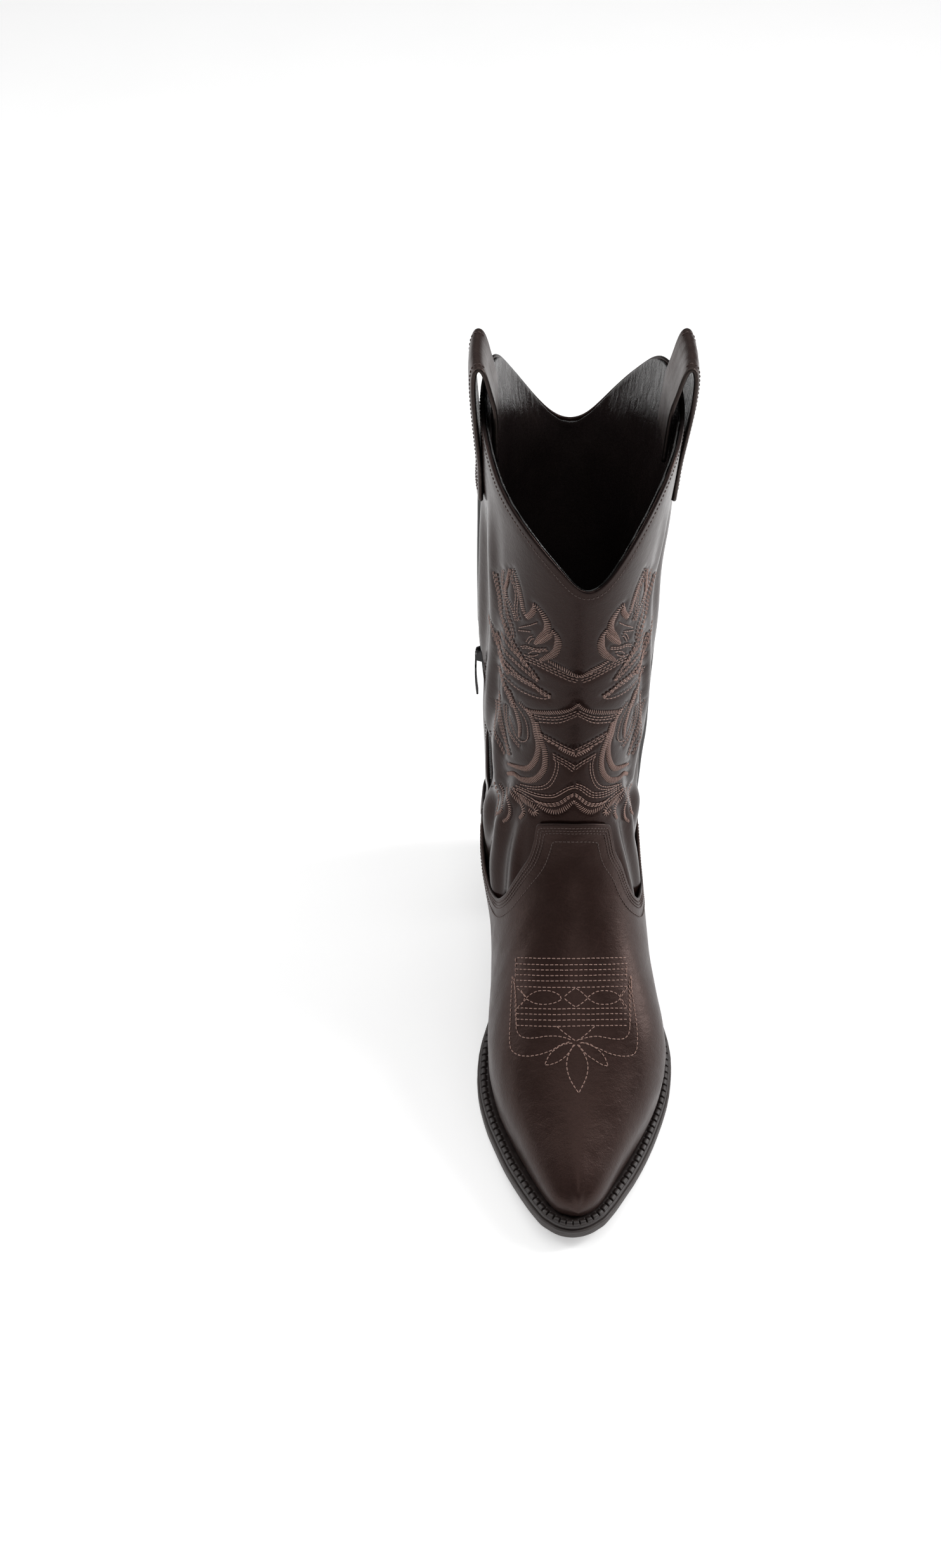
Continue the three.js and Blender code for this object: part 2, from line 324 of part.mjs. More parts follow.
add('pull_strap_medial', strap(-1), BROWN, 0.5);

// ---------------------------------------------------------------- zip
// frame of the zip line: u up along the chain, n outward, w forward
const zipPoint = (z) => new THREE.Vector3(-41.45 - (z - 105) * 0.0338, 74 - (z - 95) * 0.0711, z);
const U = zipPoint(200).sub(zipPoint(110)).normalize(), N = new THREE.Vector3(-1, 0, 0).addScaledVector(U, U.x).normalize(), W = new THREE.Vector3().crossVectors(N, U);
if (W.y < 0) W.negate();
const zp = (u, w, n) => zipPoint(ZIP_Z0).addScaledVector(U, u).addScaledVector(W, w).addScaledVector(N, n);
const zu = (z) => (z - ZIP_Z0) / U.z;
// prism: outline of [u, w] points between two depths n
function zipPrism(outline, n0, n1) {
  const tri = THREE.ShapeUtils.triangulateShape(outline.map(([u, w]) => new THREE.Vector2(u, w)), []);
  return shell(outline.map(([u, w]) => [zp(u, w, n1), zp(u, w, n0)]), tri);
}
// prism along w: outline of [u, n] points between two w values
function sidePrism(outline, w0, w1, holes = []) {
  const shapes = outline.map(([u, n]) => new THREE.Vector2(u, n)), hs = holes.map((h) => h.map(([u, n]) => new THREE.Vector2(u, n)));
  const tri = THREE.ShapeUtils.triangulateShape(shapes, hs), all = outline.concat(...holes);
  return shell(all.map(([u, n]) => [zp(u, w1, n), zp(u, w0, n)]), tri);
}
const box = (u0, u1, w0, w1, n0, n1) => zipPrism([[u0, w0], [u1, w0], [u1, w1], [u0, w1]], n0, n1);
{
  const u0 = zu(119.0), u1 = zu(209.5), pitch = 3.75, teeth = Math.floor((u1 - u0) / pitch);
  for (const [name, sg] of [['zip_teeth_front', 1], ['zip_teeth_back', -1]]) {
    const o = []; const q = sg > 0 ? 0 : 0;
    for (let i = 0; i < teeth; i++) { const a = u0 + i * pitch + q; o.push([a, sg * 1.5], [a + 0.35, sg * 0.85], [a + pitch * 0.5, sg * 0.85], [a + pitch * 0.5 + 0.35, sg * 1.5]); }
    o.push([u0 + teeth * pitch, sg * 1.5], [u0 + teeth * pitch, sg * 2.7], [u0, sg * 2.7]);
    add(name, zipPrism(o, -2.95, -1.0), BLACK, 0.4, 0);
  }
  add('zip_top_stop_front', box(u1 + 0.6, u1 + 3.4, 0.85, 2.7, -3.0, -0.8), METAL, 0.35, 0.9);
  add('zip_top_stop_back', box(u1 + 0.6, u1 + 3.4, -2.7, -0.85, -3.0, -0.8), METAL, 0.35, 0.9);
  add('zip_bottom_stop', box(u0 - 3.4, u0 - 0.6, -2.7, 2.7, -3.0, -0.8), METAL, 0.35, 0.9);
}
add('zip_tape_front', leather(alongSeam(-1, 11.72, 18.15, 12, 5.1, 13, 2), -TAPE[0], -TAPE[1]), BLACK, 0.9);
add('zip_tape_back', leather(alongSeam(-1, 11.72, 18.15, 12, -13, -4.9, 2), -TAPE[0], -TAPE[1]), BLACK, 0.9);
add('zip_guard', leather(alongSeam(-1, 11.75, 18.6, 12, -13, 10, 4), -GUARD[0], -GUARD[1]), BLACK, 0.5);

// slider: two plates joined by a narrow neck, and a bridge pin that carries the pull
const SLIDER_U = zu(SLIDER_Z), PIN_N = 2.9, PIN_U = SLIDER_U + 1.5;
{
  const plate = [[-6.6, -2.4], [-5.6, -3.2], [1.5, -3.4], [5.2, -3.9], [6.6, -3.1], [6.9, -1.2], [6.9, 1.2], [6.6, 3.1], [5.2, 3.9], [1.5, 3.4], [-5.6, 3.2], [-6.6, 2.4]].map(([u, w]) => [u + SLIDER_U, w]);
  let m = solid(zipPrism(plate, -0.35, 0.95)).add(solid(zipPrism(plate, -4.8, -3.6)));
  m = m.add(solid(box(SLIDER_U + 2.6, SLIDER_U + 6.4, -0.42, 0.42, -3.9, 0.1)));
  for (const sg of [-1, 1]) m = m.add(solid(sidePrism([[PIN_U - 3.4, 0.6], [PIN_U + 3.4, 0.6], [PIN_U + 2.2, PIN_N + 0.9], [PIN_U + 0.9, PIN_N + 1.4], [PIN_U - 0.9, PIN_N + 1.4], [PIN_U - 2.2, PIN_N + 0.9]], sg * 2.15 - 0.55, sg * 2.15 + 0.55)));
  const ring = lin(0, 2 * Math.PI, 12).slice(0, -1).map((a) => [PIN_U + 0.7 * Math.cos(a), PIN_N + 0.7 * Math.sin(a)]);
  m = m.add(solid(sidePrism(ring, -2.0, 2.0)));
  add('zip_slider', unsolid(m), METAL, 0.35, 0.9);
}
{ // pull tab: an eye round the pin and a thin blade that hangs down, curved a little outward
  const c = [];
  const out = [], eye = lin(0, 2 * Math.PI, 16).slice(0, -1).map((a) => [PIN_U + 1.75 * Math.cos(a), PIN_N + 1.75 * Math.sin(a)]);
  const hole = lin(0, 2 * Math.PI, 12).slice(0, -1).map((a) => [PIN_U + 1.05 * Math.cos(a), PIN_N + 1.05 * Math.sin(a)]);
  let m = solid(sidePrism(eye, -1.25, 1.25, [hole.reverse()]));
  const blade = (w, du0, du1, k) => { // curved blade
    const top = [], bot = []; for (const t of lin(0, 1, 6)) { const u = PIN_U - (du0 + (du1 - du0) * t), n = PIN_N + 0.75 + 0.9 * Math.sin(Math.PI * (0.1 + 0.75 * (du0 + (du1 - du0) * t) / 24)); top.push([u, n + 0.5]); bot.unshift([u, n - 0.5]); }
    return sidePrism(top.concat(bot), -w, w);
  };
  m = m.add(solid(blade(1.25, 1.35, 7.5))).add(solid(blade(2.6, 6.8, 24)));
  add('zip_pull', unsolid(m), METAL, 0.35, 0.9);
}

// ---------------------------------------------------------------- bottom
// feather height against f
const fz = []; for (let s = 2; s <= 13.0001; s += 0.05) fz.push([Bf(s), Bz(s)]);
fz.push([274, Bz(2) + (274 - Bf(2)) * 0.15], [290, Bz(2) + (290 - Bf(2)) * 0.15]);
fz.sort((a, b) => a[0] - b[0]);
const zf = (f) => { if (f <= fz[0][0]) return fz[0][1]; if (f >= fz[fz.length - 1][0]) return fz[fz.length - 1][1]; let i = 0; while (f > fz[i + 1][0]) i++; const t = (f - fz[i][0]) / (fz[i + 1][0] - fz[i][0] || 1); return fz[i][1] + (fz[i + 1][1] - fz[i][1]) * t; };
const drop = (f) => HEEL_SOLE_DROP + (SOLE_DROP - HEEL_SOLE_DROP) * step(80, 150, f);
const soleBottom = (f) => Math.max(0, zf(f) - drop(f));
// outline of the outsole: f, x medial, x lateral
const SOLE = [[281.3, -1.6, -1.0], [280.6, -6.3, 3.6], [278.6, -10.4, 8.4], [273.5, -16.6, 15.0], [265, -22.0, 21.0], [257, -26.3, 25.8], [249, -30.2, 30.6], [241, -33.8, 34.8], [232.5, -37.0, 38.8], [224, -39.9, 42.4], [216, -42.6, 45.4], [208, -44.7, 48.3], [200, -46.4, 50.8], [192, -47.5, 52.7], [184, -47.9, 53.9], [176, -47.7, 54.7], [168, -47.0, 54.8], [160, -45.4, 53.9], [152, -43.0, 52.0], [143, -40.0, 48.8], [130, -36.4, 43.2], [115, -33.8, 38.0], [100, -33.6, 34.2], [88, -34.6, 31.3], [76.5, -35.4, 29.4], [76, -35.5, 29.3], [62, -35.7, 28.0], [52, -35.1, 27.2], [42, -33.8, 26.2], [32, -31.8, 24.5], [24, -29.6, 22.6], [17, -26.6, 20.0], [11, -22.6, 16.6], [7, -18.6, 12.8], [4.2, -13.6, 8.2], [2.9, -8.6, 3.4], [2.5, -3.4, -1.8]];
const inset = (list, d, keep = () => true) => { // outline moved inward by d (outward when negative)
  const n = list.length, L = list.map(([f, a]) => new THREE.Vector2(a, f)), R = list.map(([f, , b]) => new THREE.Vector2(b, f));
  const shift = (arr, sgn) => arr.map((p, i) => { const a = arr[Math.max(i - 1, 0)], b = arr[Math.min(i + 1, n - 1)], t = b.clone().sub(a).normalize(); return new THREE.Vector2(p.x - sgn * t.y * d, p.y + sgn * t.x * d); });
  const l = shift(L, 1), r = shift(R, -1);
  return list.map((_, i) => ({ l: l[i], r: r[i] }));
};
const rowsOf = (out, zfn) => out.map(({ l, r }) => ({ xl: l.x, f: l.y, xr: r.x, f2: r.y, zl: zfn(l.y), zr: zfn(r.y) }));
{ // outsole
  const out = inset(SOLE, 0);
  const top = (f) => zf(f) - (f < 76.2 ? WELT_TOP : WELT_TOP + WELT_T + GAP);
  let m = solid(ruled([rowsOf(out, top), rowsOf(inset(SOLE, 0.0), soleBottom)]));
  for (const [x, f] of nails()) m = m.subtract(peg(x, f, 10, 60, 1.35));
  add('outsole', unsolid(m), RUBBER, 0.6);
}
function nails() { return [[-13, 48], [8, 48], [-11, 24], [6, 24]]; }
function peg(x, f, z0, z1, r, n = 10) {
  const g = new THREE.CylinderGeometry(r, r, z1 - z0, n); g.rotateX(Math.PI / 2); g.translate(X(x), Y(f), (z0 + z1) / 2);
  return solid(g);
}
// feather outline for the boards inside
const feather = []; for (const s of [0.9, 1.25, 1.7, 2.2, 3, 4, 5, 6, 6.5, 7, 7.5, 8, 8.5, 9, 9.5, 10, 10.5, 11, 11.4, 11.8, 12.1, 12.4, 12.65, 12.82, 12.93, 12.985]) { const a = P(s, -2), b = P(s, 2); feather.push([a.y, a.x, b.x]); }
{ // welt: a strip round the forepart, from one side of the heel breast round the toe to the other
  const o = inset(SOLE, 1.2), i0 = SOLE.findIndex((r) => r[0] < 79);
  const outer = o.slice(0, i0), inner = inset(feather, 5.5);
  const inL = curve(inner.map(({ l }) => [l.y, l.x]).sort((a, b) => a[0] - b[0])), inR = curve(inner.map(({ r }) => [r.y, r.x]).sort((a, b) => a[0] - b[0]));
  const ring = []; // pairs outer, inner going from medial back, round the toe, to lateral back
  const tipF = 258;
  const pair = (p, sideR) => { const f = Math.min(p.y, tipF); let x = sideR ? inR(f) : inL(f); const k = clamp((p.y - 240) / 40, 0, 1), mid = (inR(tipF) + inL(tipF)) / 2; if (p.y > 240) { const f2 = 240 + (tipF + 4 - 240) * Math.sin(k * Math.PI / 2), w = sideR ? inR(240) : inL(240); x = mid + (w - mid) * Math.cos(k * Math.PI / 2); return [x, f2]; } return [x, f]; };
  for (const { l } of outer.slice().reverse()) { const q = pair(l, false); ring.push([[l.x, l.y], q]); }
  for (const { r } of outer) { const q = pair(r, true); ring.push([[r.x, r.y], q]); }
  const zt = (f) => zf(f) - WELT_TOP, zb = (f) => zf(f) - WELT_TOP - WELT_T, nodes = [];
  for (const [a, b] of ring) for (const k of [0, 0.5, 1]) { const x = a[0] + (b[0] - a[0]) * k, f = a[1] + (b[1] - a[1]) * k; nodes.push([new THREE.Vector3(x, f, zt(f)), new THREE.Vector3(x, f, zb(f))]); }
  add('welt', shell(nodes, gridTris(ring.length, 3)), 0x241a1b, 0.6);
  // cork filler inside the welt, over the ball
  const fil = inset(feather, 6.3).filter(({ l }) => l.y > 142 && l.y < 250);
  add('forepart_filler', ruled([rowsOf(fil, (f) => zf(f) - WELT_TOP - 0.1), rowsOf(fil, (f) => zf(f) - WELT_TOP - WELT_T + 0.1)]), 0xa97b4c, 0.95);
}
{ // steel shank in the waist
  const rows = (d) => lin(80, 138, 12).map((f) => { const c = -1.5 + (f - 80) * 0.05, h = 6.5 - (f > 130 ? (f - 130) * 0.3 : 0); return { f, xl: c - h, xr: c + h, z: zf(f) - d }; });
  add('shank', ruled([rows(2.7), rows(4.5)]), 0x8d9094, 0.4, 0.9);
}
{ // insole board, sock liner
  const a = inset(feather, 0.9);
  let m = solid(ruled([rowsOf(a, (f) => zf(f) + 0.4), rowsOf(a, (f) => zf(f) - 1.7)]));
  for (const [x, f] of nails()) m = m.subtract(peg(x, f, 30, 60, 2.5));
  add('insole_board', unsolid(m), 0xb89a6e, 0.9);
  const b = inset(feather, 3.3);
  add('sock_liner', ruled([rowsOf(b, (f) => zf(f) + 1.6), rowsOf(b, (f) => zf(f) + 0.75)]), 0x2a2022, 0.7);
}
{ // heel block and top piece
  const rows = SOLE.filter((r) => r[0] <= 62.5);
  const topOut = inset(rows, 0.8).map(({ l, r }, i) => ({ xl: l.x, xr: r.x, f: rows[i][0] + (i === rows.length - 1 ? 0.6 : 0) }));
  const level = (k, z) => topOut.map((r) => { // k 0 at the seat, 1 at the ground; the back slants forward, the sides taper
    const bf = 10.5 + (r.f - 3.1) * (56.5 - 10.5) / (62 - 3.1), f = r.f + (bf - r.f) * Math.pow(k, 0.85), c = -3.6, sc = 1 - 0.17 * Math.pow(k, 0.8);
    return { f, xl: c + (r.xl - c) * sc, xr: c + (r.xr - c) * sc, z: typeof z === 'function' ? z(r.f) : z };
  });
  const top = (f) => zf(f) - HEEL_SOLE_DROP - GAP, zc = HEEL_CAP_T + GAP, mid = (t) => (f) => top(f) + (zc - top(f)) * t;
  let m = solid(ruled([level(0, top), level(0.3, mid(0.33)), level(0.64, mid(0.66)), level(0.9, zc)]));
  for (const [x, f] of nails()) m = m.subtract(peg(x, f, 24.5, 60, 1.35));
  add('heel_stack', unsolid(m), 0x1f1718, 0.55);
  add('heel_cap', ruled([level(0.91, HEEL_CAP_T), level(1, 0)]), RUBBER, 0.8);
  nails().forEach(([x, f], i) => {
    const zt = zf(f) + 0.1, g = new THREE.LatheGeometry([[0, 26], [0.9, 27.5], [0.9, zt - 1.1], [1.9, zt - 1.0], [1.9, zt], [0, zt]].map(([a, b]) => new THREE.Vector2(a, b)), 10);
    g.rotateX(Math.PI / 2); g.translate(X(x), Y(f), 0);
    add(`heel_nail_${i + 1}`, unsolid(solid(g)), 0x9a9a9c, 0.4, 0.9);
  });
}

export default boot;
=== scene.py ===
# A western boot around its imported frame. Metres, +Z up, toe towards -Y, zip on the -X side.
import math
import bpy
import bmesh
import numpy as np
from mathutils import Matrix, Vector, kdtree


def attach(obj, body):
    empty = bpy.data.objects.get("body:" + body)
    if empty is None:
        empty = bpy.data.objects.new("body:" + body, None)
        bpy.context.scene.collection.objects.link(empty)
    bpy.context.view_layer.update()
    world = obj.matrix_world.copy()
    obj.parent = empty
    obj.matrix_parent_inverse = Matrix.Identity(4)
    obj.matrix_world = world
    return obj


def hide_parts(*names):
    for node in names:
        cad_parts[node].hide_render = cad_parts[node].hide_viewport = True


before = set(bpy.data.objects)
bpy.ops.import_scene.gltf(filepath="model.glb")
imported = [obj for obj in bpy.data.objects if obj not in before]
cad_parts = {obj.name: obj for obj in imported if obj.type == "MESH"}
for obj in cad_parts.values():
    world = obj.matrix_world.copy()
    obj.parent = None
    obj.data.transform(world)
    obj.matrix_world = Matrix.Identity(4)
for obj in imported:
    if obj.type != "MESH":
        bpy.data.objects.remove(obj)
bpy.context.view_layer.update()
SC = bpy.context.scene

# ------------------------------------------------------------------ the last, in millimetres: x across, f forward from the heel, z up
TAB = np.array([
    [274, 21, 273.5, 18.5, 0, 0, 0, 0, 0.6, 1.3, 1.3],
    [271.5, 28.5, 271, 17.8, 8.45, 5.79, 7.51, 5.14, 0.62, 1.2, 1.2],
    [264.5, 34.5, 265, 16.8, 13.92, 11.82, 12.57, 10.68, 0.62, 1.05, 1.05],
    [252, 40, 253, 15.3, 20, 18.74, 18.67, 17.52, 0.62, 0.9, 0.9],
    [234, 47.5, 236, 13.2, 27.5, 28.18, 26.17, 26.86, 0.62, 0.96, 0.96],
    [212, 58.5, 215, 11.2, 36, 39.17, 34.15, 36.79, 0.64, 1.02, 1.02],
    [190, 72, 191, 10.2, 41.27, 46.08, 38.84, 43.04, 0.66, 1.08, 1.08],
    [170, 86.5, 164, 12, 41, 44.5, 37.05, 41.08, 0.68, 0.73, 0.73],
    [153.5, 101.5, 136, 19.5, 38.31, 40.63, 31.38, 35.61, 0.68, 0.37, -0.03],
    [140.5, 116.5, 106, 30.5, 37.98, 38.65, 28.6, 32.5, 0.66, 0.02, -1.18],
    [131.5, 132, 75, 39.5, 40.99, 37.45, 31, 29, 0.62, -0.34, -2.34],
    [126, 147.5, 45, 44.5, 41.69, 36.69, 29.5, 27, 0.58, -0.35, -2.55],
    [122.5, 162, 20, 47, 41, 36.24, 24.5, 23, 0.56, -0.36, -2.56],
    [120.5, 176, 7.5, 48.4, 41.38, 36.9, 0, 0, 0.54, -0.37, -2.57],
    [119.5, 188, 3, 64, 41.74, 37.6, 0, 0, 0.53, -0.38, -2.58],
    [119.5, 199, 4, 84, 42.07, 38.39, 0, 0, 0.52, -0.45, -2.55],
    [120, 211, 8.5, 110, 42.22, 38.39, 0, 0, 0.51, -0.51, -2.51],
    [121, 225, 9.5, 140, 42.89, 38.44, 0, 0, 0.5, -0.58, -2.48],
    [122.5, 241, 6, 175, 43.94, 39.06, 0, 0, 0.5, -0.64, -2.44],
    [124.5, 259, 1, 210, 44.31, 39.38, 0, 0, 0.5, -0.99, -2.49],
    [127, 279, -4, 246, 44.32, 39.49, 0, 0, 0.5, -1.34, -2.54],
    [130, 301, -8.5, 282, 44.02, 42.2, 0, 0, 0.5, -1.69, -2.49],
    [133, 325, -12.5, 317, 43.51, 45.2, 0, 0, 0.5, -2.67, -3.07],
    [136, 350, -16, 350, 43.5, 48, 0, 0, 0.5, -3.65, -3.65]
    ])
N = len(TAB) - 1


def natural(y):
    n = len(y); A = np.zeros((n, n)); r = np.zeros(n); A[0, 0] = 1; A[-1, -1] = 1
    for i in range(1, n - 1):
        A[i, i - 1] = 1; A[i, i] = 4; A[i, i + 1] = 1; r[i] = 6 * (y[i + 1] - 2 * y[i] + y[i - 1])
    return np.linalg.solve(A, r)


class Spline:
    def __init__(self, y):
        self.y = np.asarray(y, float); self.m = natural(self.y)

    def __call__(self, x):
        x = np.asarray(x, float); i = np.clip(np.floor(x).astype(int), 0, len(self.y) - 2); t = x - i; a = 1 - t
        return a * self.y[i] + t * self.y[i + 1] + ((a ** 3 - a) * self.m[i] + (t ** 3 - t) * self.m[i + 1]) / 6


COL = [Spline(TAB[:, j]) for j in range(11)]
HT = Spline([0.60] * 7 + [0.58, 0.56] + [0.55] * 15)
HU = Spline([0.55] * 4 + [0.56, 0.58, 0.58, 0.58, 0.56] + [0.55] * 15)
HD = Spline([0.50] * 9 + [0.52, 0.52, 0.54] + [0.55] * 12)


def bez(a, b, c, d, t):
    return (1 - t) ** 3 * a + 3 * (1 - t) ** 2 * t * b + 3 * (1 - t) * t * t * c + t ** 3 * d


def P(s, phi):
    s, phi = np.broadcast_arrays(np.asarray(s, float), np.asarray(phi, float))
    phi = np.where(phi > 2, phi - 4, phi); phi = np.where(phi < -2, phi + 4, phi)
    Tf, Tz, Bf, Bz, wm, wl, bm, bl, tm, xT, xB = [g(s) for g in COL[:11]]
    u = np.clip(s - 12, 0, 1); r = np.sqrt(np.maximum(1 - u * u, 0))
    bm = np.where(s <= 12, bm, (TAB[12, 6] - 3 * u) * r); bl = np.where(s <= 12, bl, (TAB[12, 7] - 3 * u) * r)
    side = np.where(phi >= 0, 1.0, -1.0); a = np.abs(phi)
    w = np.maximum(np.where(side > 0, wl, wm), 0); b = np.maximum(np.where(side > 0, bl, bm), 0)
    q = np.clip(a, 0, 1); v = np.clip(a - 1, 0, 1)
    x1 = bez(0, HT(s) * w, w, w, q); t1 = bez(0, 0, tm * (1 - HU(s)), tm, q)
    x2 = bez(w, w, b + HD(s) * (w - b), b, v); t2 = bez(tm, tm + HD(s) * (1 - tm), 1, 1, v)
    xx = np.where(a <= 1, x1, x2); tt = np.where(a <= 1, t1, t2)
    return np.stack([side * xx + xT + (xB - xT) * tt, Tf + (Bf - Tf) * tt, Tz + (Bz - Tz) * tt], -1)


def normal(s, phi):
    s, phi = np.broadcast_arrays(np.asarray(s, float), np.asarray(phi, float)); h = 2e-3
    ds = P(np.minimum(s + h, N), phi) - P(np.maximum(s - h, 0), phi)
    low = s < 13.02
    p0 = np.where(low, np.clip(phi - h, -2, 2), phi - h); p1 = np.where(low, np.clip(phi + h, -2, 2), phi + h)
    n = np.cross(ds, P(s, p1) - P(s, p0))
    n /= np.linalg.norm(n, axis=-1, keepdims=True) + 1e-12
    k = np.clip(s / 0.6, 0, 1)[..., None]; k = k * k * (3 - 2 * k)      # at the toe tip both sides share one normal
    n = n * k + np.array([0, 0.96, 0.28]) * (1 - k)
    return n / np.linalg.norm(n, axis=-1, keepdims=True)


def at(s, phi, d):
    return P(s, phi) + normal(s, phi) * np.asarray(d, float)[..., None]


def W(p):
    p = np.asarray(p, float)
    return np.stack([p[..., 0] - 0.61, 136.04 - p[..., 1], p[..., 2]], -1) / 1000


def curve(pts):
    pts = np.array(pts, float); n = len(pts); m = np.zeros(n)
    for i in range(n):
        a, b = pts[max(i - 1, 0)], pts[min(i + 1, n - 1)]; m[i] = (b[1] - a[1]) / (b[0] - a[0])
        if 0 < i < n - 1 and (b[1] - pts[i, 1]) * (pts[i, 1] - a[1]) <= 0: m[i] = 0

    def f(x):
        x = np.clip(np.asarray(x, float), pts[0, 0], pts[-1, 0]); i = np.clip(np.searchsorted(pts[:, 0], x, side="right") - 1, 0, n - 2)
        h = pts[i + 1, 0] - pts[i, 0]; t = (x - pts[i, 0]) / h; t2 = t * t; t3 = t2 * t
        return (2 * t3 - 3 * t2 + 1) * pts[i, 1] + (t3 - 2 * t2 + t) * h * m[i] + (-2 * t3 + 3 * t2) * pts[i + 1, 1] + (t3 - t2) * h * m[i + 1]
    return f


def step(a, b, x):
    t = np.clip((np.asarray(x, float) - a) / (b - a), 0, 1); return t * t * (3 - 2 * t)


topL = curve([[0, 20.66], [0.04, 20.64], [0.15, 20.83], [0.29, 21.42], [0.42, 21.95], [0.6, 22.49], [0.8, 22.78], [1, 22.92], [1.15, 22.95], [1.35, 22.82], [1.52, 22.33], [1.77, 21.56], [1.88, 21.28], [1.95, 21.19], [2, 21.17]])
topM = curve([[0, 20.66], [0.06, 20.86], [0.16, 21.27], [0.38, 21.89], [0.64, 22.35], [0.8, 22.66], [1, 22.9], [1.15, 22.95], [1.34, 22.87], [1.49, 22.42], [1.72, 21.68], [1.86, 21.32], [1.95, 21.19], [2, 21.17]])
seam = curve([[9, 1.05], [10.6, 1.048], [11.188, 1.02], [11.453, 0.976], [11.91, 0.921], [12.9, 0.873], [14.26, 0.869], [15.7, 0.922], [16.8, 0.969], [17.65, 0.982], [18.43, 0.984], [19.19, 0.988], [20.6, 1.001], [21.97, 1.019], [22.83, 1.031], [23, 1.034]])
vampL = curve([[0, 10.68], [0.27, 10.72], [0.31, 10.66], [0.335, 10.3], [0.36, 9.9], [0.44, 9.5], [0.5, 9.1], [0.56, 8.94], [0.63, 8.92], [0.74, 9.2], [0.88, 9.74], [0.95, 10.5], [0.985, 11.4]])
vampM = curve([[0, 10.68], [0.22, 10.72], [0.26, 10.66], [0.28, 10.2], [0.33, 9.75], [0.41, 9.46], [0.53, 9.16], [0.61, 9.02], [0.68, 9.0], [0.8, 9.2], [0.91, 9.75], [0.955, 10.5], [0.985, 11.4]])
footLine = curve([[0, 8.12], [0.55, 8.08], [0.75, 8.3], [0.9, 9.3], [1, 10.3], [1.06, 10.85]])
frontLow = curve([[0, 9.9], [0.3, 9.4], [0.45, 8.7], [0.62, 8.3], [0.8, 8.6], [0.9, 9.2], [1, 10.1], [1.05, 10.6]])
backLow = curve([[1.05, 10.6], [1.198, 11.05], [1.275, 11.317], [1.352, 11.61], [1.405, 12.015], [1.431, 12.685], [1.497, 13.374], [1.593, 13.965], [1.688, 14.479], [1.85, 14.72], [2, 14.78]])
HEEL_TOP = np.array([[11.5, 0.985], [11.678, 1.042], [11.92, 1.111], [12.381, 1.184], [13.04, 1.265], [13.607, 1.36], [14.178, 1.467], [14.837, 1.604], [15.335, 1.759], [15.5, 1.88], [15.55, 2]])
LINING_JOIN = np.array([[11.195, 1.085], [11.347, 1.124], [11.552, 1.196], [11.887, 1.269], [12.428, 1.323], [13.137, 1.386], [13.718, 1.477], [14.332, 1.589], [14.866, 1.707], [15.05, 1.85], [15.1, 2]])
liningBackLow = curve(LINING_JOIN[:, ::-1])
TIP = 0.985


def signed(phi):
    phi = np.asarray(phi, float); return np.where(phi > 2, phi - 4, np.where(phi < -2, phi + 4, phi))


_tp = np.linspace(-2, 2, 801)[:-1]
_tv = np.where(_tp >= 0, topL(np.abs(_tp)), topM(np.abs(_tp)))
_kk = np.exp(-(np.arange(-24, 25) * 0.005 / 0.038) ** 2 / 2); _kk /= _kk.sum()
_tv = np.convolve(np.r_[_tv[-24:], _tv, _tv[:24]], _kk, "valid")


def topLine(phi):
    return np.interp(signed(phi), np.r_[_tp, 2.0], np.r_[_tv, _tv[0]])


def vampLine(phi):
    a = np.abs(phi); return np.where(a > TIP, 11.4 - 1.55 * (a - TIP) / (2 - TIP), np.where(phi >= 0, vampL(a), vampM(a)))


def footEdge(a):
    return np.where(a < 1.06, footLine(a), 10.85 - 1.65 * (a - 1.06) / 0.94)


def perPhi(s, phi):
    d = P(s, phi + 1e-3) - P(s, phi - 1e-3); return np.abs(d[..., 1] + 0.0711 * d[..., 2]) / 2e-3


def zipSlot(s):
    return 5.3 * (1 - np.clip((s - 18.1) / 0.2, 0, 1))


def edgePhi(s, side, front):
    p = seam(s); half = 0.4 + np.where(side < 0, zipSlot(s), 0)
    return side * (p + (-1 if front else 1) * half / perPhi(s, side * p))


